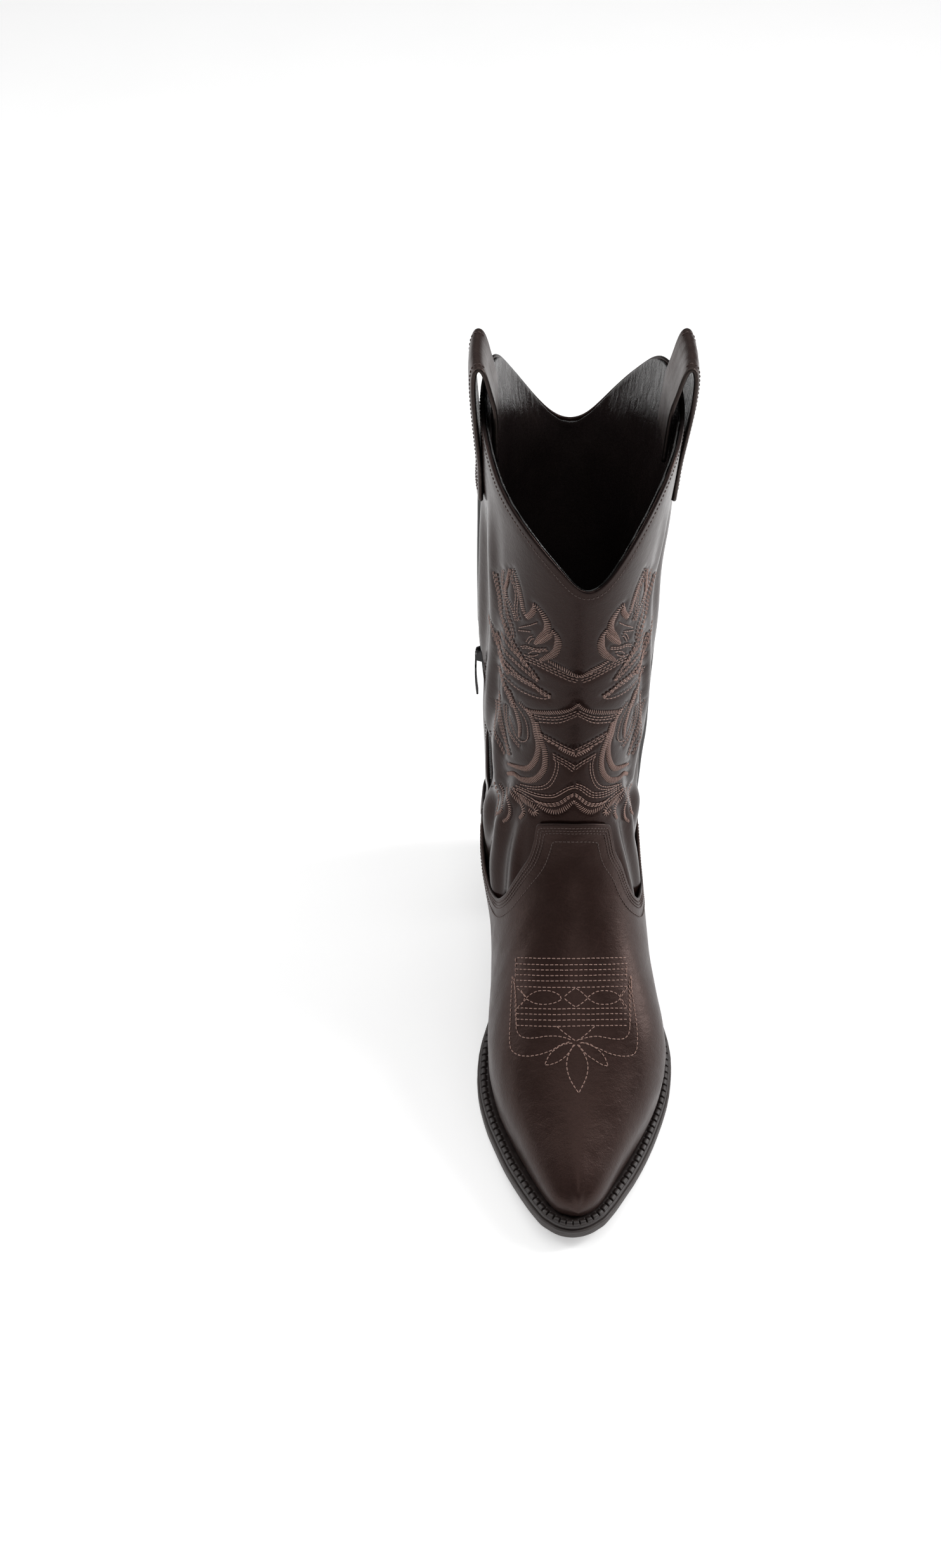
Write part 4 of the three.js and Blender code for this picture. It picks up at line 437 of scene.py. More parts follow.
    "brak1": [[16.48, -0.435], [16.42, -0.425], [16.36, -0.416], [16.31, -0.406], [16.25, -0.395], [16.21, -0.383], [16.17, -0.371], [16.14, -0.357], [16.11, -0.341], [16.09, -0.323], [16.08, -0.302], [16.07, -0.281], [16.07, -0.259], [16.07, -0.235], [16.07, -0.21], [16.08, -0.186], [16.09, -0.163], [16.1, -0.143], [16.11, -0.124], [16.13, -0.106], [16.16, -0.09], [16.18, -0.075], [16.21, -0.061], [16.25, -0.049], [16.3, -0.037], [16.35, -0.027], [16.41, -0.018], [16.47, -0.01], [16.53, -0.002]],
    "brak2": [[16.14, -0.379], [16.07, -0.364], [16.0, -0.35], [15.94, -0.336], [15.89, -0.319], [15.85, -0.301], [15.83, -0.28], [15.81, -0.259], [15.79, -0.238], [15.78, -0.217], [15.77, -0.195], [15.76, -0.173], [15.77, -0.152], [15.79, -0.133], [15.81, -0.113], [15.85, -0.096], [15.88, -0.08], [15.91, -0.067], [15.95, -0.056], [15.99, -0.045], [16.02, -0.036], [16.05, -0.026], [16.08, -0.017], [16.11, -0.008], [16.14, 0.001]],
    "brak3": [[15.58, -0.277], [15.56, -0.257], [15.55, -0.237], [15.54, -0.218], [15.53, -0.199], [15.52, -0.179], [15.52, -0.161], [15.52, -0.142], [15.54, -0.123], [15.58, -0.105], [15.63, -0.086], [15.7, -0.069], [15.76, -0.052], [15.81, -0.037], [15.86, -0.024], [15.9, -0.011], [15.95, 0.002]],
    "hook1": [[16.2, -0.379], [16.12, -0.369], [16.05, -0.359], [15.97, -0.349], [15.88, -0.34], [15.79, -0.333], [15.69, -0.325], [15.59, -0.319], [15.47, -0.313], [15.33, -0.308], [15.18, -0.303], [15.02, -0.3], [14.86, -0.295], [14.72, -0.29], [14.58, -0.285], [14.45, -0.28], [14.31, -0.276], [14.18, -0.275], [14.04, -0.275], [13.92, -0.276], [13.79, -0.279], [13.67, -0.283], [13.54, -0.288], [13.43, -0.295], [13.32, -0.304], [13.22, -0.315], [13.12, -0.328], [13.04, -0.342], [12.99, -0.359], [12.98, -0.376], [12.99, -0.396], [13.02, -0.418], [13.06, -0.441], [13.1, -0.466], [13.16, -0.493], [13.22, -0.523], [13.29, -0.553]],
    "hook2": [[15.54, -0.292], [15.43, -0.288], [15.32, -0.284], [15.21, -0.28], [15.09, -0.276], [14.98, -0.272], [14.87, -0.268], [14.75, -0.264], [14.62, -0.26], [14.49, -0.253], [14.36, -0.246], [14.21, -0.239], [14.07, -0.234], [13.93, -0.229], [13.78, -0.225], [13.64, -0.222], [13.5, -0.22], [13.36, -0.22], [13.23, -0.22], [13.1, -0.222], [12.98, -0.226], [12.88, -0.232], [12.79, -0.24], [12.71, -0.25], [12.63, -0.262], [12.56, -0.275], [12.51, -0.29], [12.46, -0.307], [12.43, -0.326], [12.42, -0.347], [12.44, -0.371], [12.46, -0.395], [12.5, -0.418], [12.56, -0.438], [12.64, -0.457], [12.71, -0.475], [12.77, -0.493], [12.8, -0.511], [12.8, -0.529], [12.8, -0.547], [12.81, -0.566]],
    "vb1": [[14.9, -0.265], [14.62, -0.196], [14.25, -0.119], [13.98, -0.053], [13.81, -0.006]],
    "vb2": [[14.46, -0.215], [14.22, -0.156], [13.87, -0.08], [13.67, -0.006]],
    "vb3": [[14.78, -0.265], [14.54, -0.215], [14.1, -0.118], [13.84, -0.052], [13.72, -0.006]],
    "vbcomb": [[13.98, -0.118], [13.76, -0.061], [13.55, -0.0]],
    "m1": [[13.7, -0.169], [13.48, -0.116], [13.26, -0.059], [13.02, 0.0]],
    "m2": [[13.56, -0.166], [13.34, -0.115], [13.14, -0.058], [12.86, -0.003]],
    "m3": [[13.57, -0.159], [13.48, -0.154], [13.4, -0.148], [13.31, -0.144], [13.22, -0.141], [13.1, -0.141], [12.97, -0.143], [12.84, -0.147], [12.73, -0.151], [12.63, -0.157], [12.54, -0.164], [12.46, -0.171], [12.39, -0.18], [12.33, -0.188], [12.28, -0.198], [12.24, -0.208], [12.2, -0.219], [12.17, -0.233], [12.15, -0.249], [12.14, -0.265], [12.13, -0.282], [12.13, -0.297], [12.14, -0.314], [12.15, -0.33], [12.17, -0.348], [12.19, -0.367], [12.22, -0.387], [12.25, -0.409], [12.28, -0.43]],
    "m4": [[13.21, -0.119], [13.12, -0.12], [13.02, -0.12], [12.93, -0.121], [12.84, -0.123], [12.75, -0.126], [12.66, -0.13], [12.58, -0.135], [12.5, -0.141], [12.42, -0.147], [12.35, -0.154], [12.28, -0.161], [12.22, -0.169], [12.17, -0.177], [12.13, -0.186], [12.09, -0.196], [12.06, -0.209], [12.04, -0.224], [12.03, -0.242], [12.03, -0.261], [12.03, -0.281], [12.04, -0.302], [12.06, -0.324], [12.07, -0.347], [12.09, -0.37]],
    "l1": [[12.26, -0.468], [12.2, -0.446], [12.15, -0.425], [12.09, -0.404], [12.04, -0.382], [11.99, -0.359], [11.94, -0.336], [11.9, -0.313], [11.86, -0.291], [11.83, -0.269], [11.81, -0.247], [11.79, -0.226], [11.78, -0.207], [11.77, -0.19], [11.77, -0.175], [11.77, -0.161], [11.79, -0.147], [11.82, -0.132], [11.87, -0.118], [11.93, -0.103], [11.97, -0.09], [12.01, -0.077], [12.04, -0.066], [12.08, -0.054], [12.1, -0.043], [12.12, -0.032], [12.13, -0.02], [12.14, -0.009], [12.16, 0.002]],
    "l2": [[12.11, -0.443], [12.05, -0.417], [11.98, -0.392], [11.93, -0.368], [11.87, -0.346], [11.83, -0.328], [11.8, -0.311], [11.77, -0.296], [11.75, -0.279], [11.72, -0.261], [11.71, -0.243], [11.69, -0.224], [11.68, -0.206], [11.68, -0.188], [11.68, -0.17], [11.69, -0.153], [11.71, -0.137], [11.74, -0.121], [11.78, -0.107], [11.83, -0.093], [11.88, -0.08], [11.92, -0.067], [11.97, -0.055], [12.01, -0.044], [12.04, -0.033], [12.05, -0.024], [12.06, -0.015], [12.06, -0.006], [12.07, 0.003]],
    "l3": [[11.66, -0.322], [11.63, -0.309], [11.59, -0.296], [11.56, -0.283], [11.53, -0.267], [11.49, -0.248], [11.47, -0.227], [11.45, -0.205], [11.44, -0.184], [11.44, -0.164], [11.45, -0.143], [11.47, -0.123], [11.5, -0.106], [11.54, -0.093], [11.58, -0.082], [11.63, -0.071], [11.68, -0.059], [11.72, -0.046], [11.76, -0.032], [11.8, -0.018], [11.85, -0.004]],
    "l4": [[11.58, -0.299], [11.55, -0.289], [11.51, -0.28], [11.48, -0.269], [11.45, -0.256], [11.41, -0.237], [11.38, -0.216], [11.35, -0.194], [11.33, -0.173], [11.33, -0.153], [11.35, -0.132], [11.37, -0.113], [11.4, -0.096], [11.44, -0.082], [11.48, -0.071], [11.54, -0.06], [11.59, -0.049], [11.63, -0.038], [11.67, -0.026], [11.71, -0.015], [11.76, -0.003]],
    "l5": [[11.62, -0.311], [11.59, -0.299], [11.55, -0.288], [11.52, -0.276], [11.49, -0.261], [11.46, -0.243], [11.42, -0.222], [11.4, -0.2], [11.38, -0.179], [11.38, -0.158], [11.4, -0.138], [11.42, -0.118], [11.45, -0.101], [11.49, -0.087], [11.53, -0.076], [11.58, -0.066], [11.63, -0.054], [11.67, -0.042], [11.71, -0.029], [11.76, -0.016], [11.8, -0.004]],
    "lcomb": [[11.4, -0.271], [11.35, -0.256], [11.3, -0.242], [11.26, -0.228], [11.22, -0.212], [11.18, -0.195], [11.15, -0.177], [11.12, -0.159], [11.11, -0.142], [11.11, -0.127], [11.12, -0.112], [11.15, -0.098], [11.17, -0.085], [11.21, -0.072], [11.25, -0.06], [11.3, -0.049], [11.34, -0.038], [11.39, -0.028], [11.43, -0.019], [11.48, -0.009], [11.52, -0.0]],
    "dr1": [[12.18, -0.495], [12.06, -0.478], [11.94, -0.461], [11.83, -0.444], [11.74, -0.427], [11.67, -0.411], [11.62, -0.396], [11.57, -0.381], [11.52, -0.366], [11.48, -0.35], [11.44, -0.335], [11.41, -0.321], [11.36, -0.308], [11.31, -0.296], [11.24, -0.285], [11.18, -0.277], [11.14, -0.274], [11.11, -0.277], [11.08, -0.285], [11.07, -0.296], [11.08, -0.305], [11.1, -0.314], [11.14, -0.322], [11.19, -0.331], [11.23, -0.34]],
    "dr2": [[12.13, -0.522], [12.02, -0.508], [11.9, -0.493], [11.79, -0.479], [11.7, -0.465], [11.62, -0.451], [11.56, -0.436], [11.5, -0.423], [11.44, -0.412], [11.37, -0.403], [11.29, -0.396], [11.21, -0.391], [11.15, -0.391], [11.1, -0.395], [11.06, -0.404], [11.02, -0.415], [10.98, -0.425]],
    "dr3": [[12.15, -0.581], [12.04, -0.569], [11.93, -0.555], [11.82, -0.543], [11.72, -0.533], [11.62, -0.527], [11.52, -0.522], [11.42, -0.52], [11.34, -0.52], [11.25, -0.524], [11.17, -0.529], [11.1, -0.537], [11.04, -0.545], [11.0, -0.553], [10.98, -0.562], [10.97, -0.572], [10.95, -0.581]],
    "dr4": [[12.35, -0.647], [12.21, -0.639], [12.09, -0.629], [11.96, -0.62], [11.84, -0.611], [11.71, -0.603], [11.58, -0.594], [11.46, -0.588], [11.36, -0.588], [11.3, -0.594], [11.26, -0.606], [11.24, -0.62], [11.21, -0.634]],
    "dr5": [[12.56, -0.703], [12.4, -0.699], [12.25, -0.693], [12.1, -0.688], [11.97, -0.684], [11.84, -0.684], [11.71, -0.686], [11.59, -0.688], [11.49, -0.686], [11.4, -0.679], [11.32, -0.67], [11.25, -0.66], [11.17, -0.651]],
    "dr6": [[12.12, -0.488], [12.08, -0.477], [12.04, -0.466], [11.99, -0.454], [11.95, -0.442], [11.91, -0.427], [11.87, -0.412], [11.82, -0.396], [11.78, -0.38], [11.73, -0.363], [11.68, -0.345], [11.63, -0.328], [11.59, -0.31]],
    "row0": [[7.38, -0.468], [7.3, -0.402], [7.24, -0.342], [7.18, -0.286], [7.14, -0.231], [7.11, -0.177], [7.08, -0.124], [7.07, -0.073], [7.06, -0.023], [7.06, 0.024], [7.07, 0.07], [7.09, 0.118], [7.11, 0.167], [7.14, 0.218], [7.18, 0.27], [7.23, 0.327], [7.29, 0.39]],
    "row1": [[7.26, -0.478], [7.17, -0.407], [7.1, -0.344], [7.05, -0.285], [7.0, -0.23], [6.97, -0.176], [6.95, -0.123], [6.93, -0.073], [6.93, -0.024], [6.93, 0.022], [6.94, 0.067], [6.95, 0.114], [6.97, 0.163], [7.0, 0.215], [7.04, 0.271], [7.1, 0.331], [7.17, 0.399]],
    "row2": [[7.14, -0.473], [7.05, -0.404], [6.99, -0.342], [6.93, -0.284], [6.89, -0.228], [6.86, -0.175], [6.84, -0.123], [6.82, -0.073], [6.82, -0.024], [6.82, 0.021], [6.83, 0.066], [6.84, 0.112], [6.86, 0.16], [6.89, 0.211], [6.93, 0.266], [6.98, 0.325], [7.04, 0.391]],
    "row3": [[7.01, -0.469], [6.93, -0.401], [6.87, -0.34], [6.81, -0.282], [6.77, -0.227], [6.74, -0.174], [6.72, -0.123], [6.71, -0.073], [6.7, -0.025], [6.7, 0.02], [6.71, 0.064], [6.72, 0.109], [6.75, 0.157], [6.77, 0.207], [6.81, 0.26], [6.85, 0.318], [6.91, 0.382]],
    "row4": [[6.89, -0.466], [6.81, -0.399], [6.75, -0.338], [6.7, -0.281], [6.66, -0.227], [6.63, -0.174], [6.61, -0.123], [6.6, -0.073], [6.59, -0.026], [6.59, 0.019], [6.6, 0.062], [6.61, 0.107], [6.63, 0.154], [6.66, 0.203], [6.69, 0.256], [6.74, 0.312], [6.79, 0.375]],
    "row5": [[6.75, -0.463], [6.68, -0.397], [6.62, -0.337], [6.57, -0.28], [6.53, -0.227], [6.5, -0.174], [6.48, -0.123], [6.47, -0.074], [6.46, -0.027], [6.46, 0.018], [6.47, 0.06], [6.48, 0.105], [6.5, 0.151], [6.53, 0.2], [6.56, 0.251], [6.6, 0.307], [6.65, 0.367]],
    "row6": [[6.3, -0.461], [6.24, -0.397], [6.18, -0.338], [6.13, -0.282], [6.1, -0.229], [6.07, -0.177], [6.05, -0.126], [6.04, -0.077], [6.04, -0.029], [6.04, 0.015], [6.04, 0.057], [6.05, 0.101], [6.07, 0.146], [6.09, 0.193], [6.12, 0.243], [6.15, 0.295], [6.2, 0.352]],
    "row7": [[6.19, -0.463], [6.12, -0.399], [6.07, -0.34], [6.02, -0.284], [5.99, -0.231], [5.96, -0.178], [5.94, -0.127], [5.93, -0.078], [5.93, -0.03], [5.93, 0.015], [5.93, 0.057], [5.94, 0.1], [5.96, 0.146], [5.98, 0.193], [6.01, 0.242], [6.04, 0.295], [6.08, 0.351]],
    "row8": [[6.08, -0.466], [6.01, -0.402], [5.96, -0.343], [5.91, -0.287], [5.88, -0.233], [5.85, -0.18], [5.83, -0.129], [5.82, -0.079], [5.82, -0.031], [5.82, 0.014], [5.82, 0.057], [5.83, 0.101], [5.85, 0.146], [5.87, 0.194], [5.89, 0.243], [5.93, 0.296], [5.97, 0.352]],
    "row9": [[5.96, -0.47], [5.89, -0.406], [5.84, -0.347], [5.79, -0.29], [5.76, -0.236], [5.73, -0.183], [5.71, -0.131], [5.7, -0.08], [5.7, -0.032], [5.7, 0.014], [5.71, 0.057], [5.72, 0.102], [5.73, 0.148], [5.75, 0.196], [5.78, 0.246], [5.81, 0.298], [5.85, 0.354]],
    "ellL": [[6.4, -0.366], [6.42, -0.35], [6.45, -0.335], [6.46, -0.319], [6.47, -0.301], [6.48, -0.282], [6.48, -0.26], [6.47, -0.238], [6.46, -0.217], [6.45, -0.197], [6.43, -0.176], [6.41, -0.157], [6.38, -0.14], [6.36, -0.122], [6.32, -0.106], [6.29, -0.093], [6.26, -0.088], [6.23, -0.093], [6.21, -0.106], [6.19, -0.124], [6.18, -0.141], [6.17, -0.159], [6.17, -0.178], [6.17, -0.199], [6.18, -0.219], [6.19, -0.24], [6.21, -0.261], [6.24, -0.283], [6.26, -0.302], [6.3, -0.32], [6.33, -0.335], [6.37, -0.35], [6.4, -0.366]],
    "ellR": [[6.26, 0.07], [6.29, 0.081], [6.32, 0.093], [6.35, 0.105], [6.38, 0.118], [6.4, 0.133], [6.42, 0.148], [6.43, 0.165], [6.44, 0.182], [6.45, 0.2], [6.45, 0.22], [6.45, 0.239], [6.44, 0.257], [6.43, 0.273], [6.41, 0.287], [6.39, 0.299], [6.37, 0.303], [6.33, 0.297], [6.3, 0.285], [6.26, 0.269], [6.23, 0.252], [6.21, 0.235], [6.18, 0.215], [6.17, 0.196], [6.16, 0.177], [6.15, 0.161], [6.15, 0.145], [6.16, 0.13], [6.17, 0.116], [6.18, 0.103], [6.21, 0.092], [6.23, 0.081], [6.26, 0.07]],
    "dia1": [[6.28, -0.075], [6.38, -0.035], [6.45, 0.001]],
    "dia2": [[6.45, 0.001], [6.38, 0.034], [6.26, 0.073]],
    "dia3": [[6.25, -0.075], [6.14, -0.036], [6.07, 0.001]],
    "dia4": [[6.07, 0.001], [6.15, 0.041], [6.25, 0.073]],
    "sideL1": [[6.71, -0.448], [6.42, -0.358]],
    "sideL2": [[6.39, -0.358], [6.29, -0.447]],
    "sideL3": [[6.63, -0.415], [6.58, -0.402], [6.53, -0.388], [6.48, -0.377], [6.43, -0.373], [6.39, -0.376], [6.36, -0.386], [6.33, -0.399], [6.3, -0.41]],
    "sideR1": [[6.65, 0.367], [6.38, 0.303]],
    "sideR2": [[6.35, 0.302], [6.2, 0.352]],
    "sideR3": [[6.55, 0.333], [6.5, 0.32], [6.45, 0.306], [6.41, 0.295], [6.37, 0.29], [6.33, 0.293], [6.29, 0.303], [6.26, 0.315], [6.22, 0.326]],
    "endL": [[7.4, -0.481], [7.16, -0.474], [6.95, -0.468]],
    "endR": [[7.12, 0.383], [6.84, 0.365]],
    "frL1": [[7.04, -0.503], [6.94, -0.503], [6.84, -0.503], [6.73, -0.504], [6.62, -0.506], [6.48, -0.509], [6.34, -0.514], [6.2, -0.52], [6.08, -0.528], [5.97, -0.535], [5.88, -0.543], [5.8, -0.55], [5.73, -0.554], [5.67, -0.558], [5.61, -0.559], [5.56, -0.556], [5.51, -0.546], [5.46, -0.528], [5.4, -0.504], [5.35, -0.475], [5.31, -0.444], [5.28, -0.409], [5.25, -0.372], [5.24, -0.334], [5.23, -0.299], [5.23, -0.266], [5.24, -0.233], [5.25, -0.203], [5.27, -0.177], [5.29, -0.155], [5.32, -0.136], [5.34, -0.119], [5.36, -0.102], [5.37, -0.086], [5.38, -0.071], [5.39, -0.056], [5.4, -0.042]],
    "frL2": [[7.01, -0.497], [6.91, -0.486], [6.81, -0.476], [6.71, -0.468], [6.61, -0.461], [6.5, -0.458], [6.39, -0.456], [6.28, -0.457], [6.18, -0.458], [6.1, -0.461], [6.01, -0.466], [5.94, -0.47], [5.87, -0.469], [5.81, -0.464], [5.77, -0.456], [5.72, -0.444], [5.68, -0.427], [5.65, -0.405], [5.62, -0.379], [5.59, -0.35], [5.58, -0.322], [5.56, -0.293], [5.56, -0.263], [5.56, -0.233], [5.55, -0.205], [5.54, -0.177], [5.53, -0.149], [5.52, -0.123], [5.5, -0.099], [5.49, -0.08], [5.47, -0.064], [5.45, -0.049], [5.43, -0.033]],
    "frL3": [[6.96, -0.478], [6.86, -0.474], [6.76, -0.47], [6.66, -0.467], [6.57, -0.466], [6.47, -0.465], [6.37, -0.466], [6.28, -0.467], [6.19, -0.468], [6.12, -0.467], [6.06, -0.465], [6.0, -0.463], [5.93, -0.462]],
    "frR1": [[6.94, 0.41], [6.83, 0.407], [6.72, 0.403], [6.62, 0.401], [6.5, 0.401], [6.37, 0.405], [6.23, 0.412], [6.09, 0.421], [5.97, 0.43], [5.86, 0.439], [5.76, 0.447], [5.67, 0.454], [5.58, 0.459], [5.52, 0.463], [5.46, 0.465], [5.42, 0.463], [5.37, 0.455], [5.33, 0.441], [5.3, 0.42], [5.27, 0.397], [5.25, 0.371], [5.23, 0.342], [5.22, 0.31], [5.22, 0.279], [5.22, 0.25], [5.23, 0.225], [5.25, 0.202], [5.27, 0.18], [5.29, 0.158], [5.3, 0.136], [5.32, 0.113], [5.34, 0.093], [5.36, 0.075], [5.37, 0.061], [5.37, 0.05], [5.38, 0.039], [5.39, 0.029]],
    "frR2": [[6.92, 0.404], [6.82, 0.395], [6.72, 0.386], [6.62, 0.379], [6.52, 0.373], [6.41, 0.37], [6.3, 0.368], [6.2, 0.368], [6.1, 0.369], [6.0, 0.37], [5.92, 0.373], [5.83, 0.376], [5.76, 0.376], [5.71, 0.372], [5.66, 0.367], [5.62, 0.358], [5.59, 0.345], [5.56, 0.327], [5.54, 0.304], [5.53, 0.279], [5.52, 0.254], [5.51, 0.228], [5.52, 0.201], [5.52, 0.175], [5.53, 0.151], [5.52, 0.13], [5.51, 0.109], [5.5, 0.09], [5.49, 0.073], [5.47, 0.059], [5.46, 0.046], [5.45, 0.034], [5.43, 0.021]],
    "frR3": [[6.9, 0.416], [6.79, 0.406], [6.69, 0.397], [6.58, 0.39], [6.48, 0.384], [6.38, 0.381], [6.29, 0.379], [6.19, 0.379], [6.11, 0.379], [6.03, 0.378], [5.96, 0.377], [5.9, 0.375], [5.83, 0.375]],
    "xL": [[5.73, -0.138], [5.7, -0.126], [5.66, -0.114], [5.63, -0.102], [5.6, -0.089], [5.56, -0.075], [5.53, -0.06], [5.5, -0.046], [5.47, -0.033], [5.45, -0.023], [5.43, -0.015], [5.42, -0.008], [5.41, -0.001]],
    "xR": [[5.72, 0.121], [5.69, 0.111], [5.66, 0.101], [5.63, 0.09], [5.59, 0.08], [5.56, 0.069], [5.53, 0.058], [5.5, 0.047], [5.47, 0.036], [5.45, 0.026], [5.43, 0.017], [5.42, 0.008], [5.41, -0.001]],
    "ptL1": [[5.37, -0.021], [5.37, -0.036], [5.37, -0.052], [5.36, -0.069], [5.36, -0.085], [5.34, -0.101], [5.33, -0.117], [5.31, -0.133], [5.28, -0.149], [5.26, -0.164], [5.24, -0.18], [5.21, -0.196], [5.17, -0.21], [5.14, -0.222], [5.09, -0.233], [5.05, -0.243], [5.01, -0.254]],
    "ptL2": [[5.35, -0.014], [5.3, -0.025], [5.25, -0.036], [5.2, -0.048], [5.16, -0.062], [5.12, -0.077], [5.09, -0.093], [5.06, -0.111], [5.04, -0.128], [5.02, -0.146], [5.01, -0.164], [5.0, -0.182], [4.99, -0.198], [4.99, -0.213], [5.0, -0.227], [5.0, -0.24], [5.01, -0.254]],
    "ptR1": [[5.37, 0.02], [5.37, 0.035], [5.38, 0.051], [5.38, 0.067], [5.37, 0.083], [5.35, 0.098], [5.33, 0.112], [5.31, 0.127], [5.28, 0.141], [5.26, 0.156], [5.23, 0.17], [5.2, 0.184], [5.17, 0.198], [5.13, 0.209], [5.08, 0.22], [5.03, 0.231], [4.98, 0.242]],
    "ptR2": [[5.35, 0.014], [5.3, 0.025], [5.26, 0.036], [5.22, 0.048], [5.18, 0.061], [5.14, 0.077], [5.11, 0.095], [5.08, 0.113], [5.06, 0.131], [5.04, 0.146], [5.02, 0.16], [5.0, 0.174], [4.99, 0.188], [4.98, 0.201], [4.98, 0.215], [4.98, 0.229], [4.98, 0.242]],
    "ptC1": [[5.35, -0.004], [5.31, -0.017], [5.27, -0.03], [5.22, -0.042], [5.18, -0.053], [5.12, -0.061], [5.07, -0.068], [5.0, -0.073], [4.94, -0.075], [4.88, -0.073], [4.81, -0.069], [4.74, -0.061], [4.67, -0.051], [4.6, -0.038], [4.53, -0.02], [4.46, -0.001], [4.39, 0.018]],
    "ptC2": [[5.35, 0.005], [5.31, 0.017], [5.27, 0.03], [5.22, 0.042], [5.18, 0.053], [5.12, 0.063], [5.07, 0.073], [5.0, 0.08], [4.94, 0.085], [4.88, 0.086], [4.81, 0.084], [4.74, 0.079], [4.68, 0.072], [4.61, 0.062], [4.54, 0.048], [4.46, 0.033], [4.39, 0.018]],
}


def resample(sp, pitch):
    sp = np.asarray(sp, float); k = np.arange(len(sp)); u = np.linspace(0, len(sp) - 1, max(40, len(sp) * 6))
    s = np.interp(u, k, sp[:, 0]); f = np.interp(u, k, sp[:, 1])
    if len(s) > 9:  # a light smoothing that keeps the ends
        for _ in range(2):
            s[1:-1] = (s[:-2] + 2 * s[1:-1] + s[2:]) / 4; f[1:-1] = (f[:-2] + 2 * f[1:-1] + f[2:]) / 4
    p = P(s, f); d = np.r_[0, np.cumsum(np.linalg.norm(np.diff(p, axis=0), axis=1))]
    n = max(2, int(round(d[-1] / pitch)) + 1); q = np.linspace(0, d[-1], n)
    return np.stack([np.interp(q, d, s), np.interp(q, d, f)], -1), d[-1]


def slide(sp, direction, dist):
    """moves (s, phi) points over the surface by dist along a direction given in x, f, z"""
    sp = np.array(sp, float); steps = max(1, int(math.ceil(np.max(np.abs(dist)) / 1.5))); h = 1e-3
    for _ in range(steps):
        s, f = sp[:, 0], sp[:, 1]
        a = (P(np.minimum(s + h, N), f) - P(np.maximum(s - h, 0), f)) / (np.minimum(s + h, N) - np.maximum(s - h, 0))[:, None]; b = (P(s, f + h) - P(s, f - h)) / (2 * h)
        d = direction * (np.asarray(dist) / steps).reshape(-1, 1)
        aa, ab, bb = (a * a).sum(1), (a * b).sum(1), (b * b).sum(1); da, db = (a * d).sum(1), (b * d).sum(1)
        det = aa * bb - ab * ab + 1e-9
        sp[:, 0] = np.clip(s + (da * bb - db * ab) / det, 0, N); sp[:, 1] = f + (db * aa - da * ab) / det
    return sp


def frame_of(sp):
    p = P(sp[:, 0], sp[:, 1]); t = np.gradient(p, axis=0); t /= np.linalg.norm(t, axis=1, keepdims=True) + 1e-9
    n = normal(sp[:, 0], sp[:, 1]); return p, t, n, np.cross(n, t)


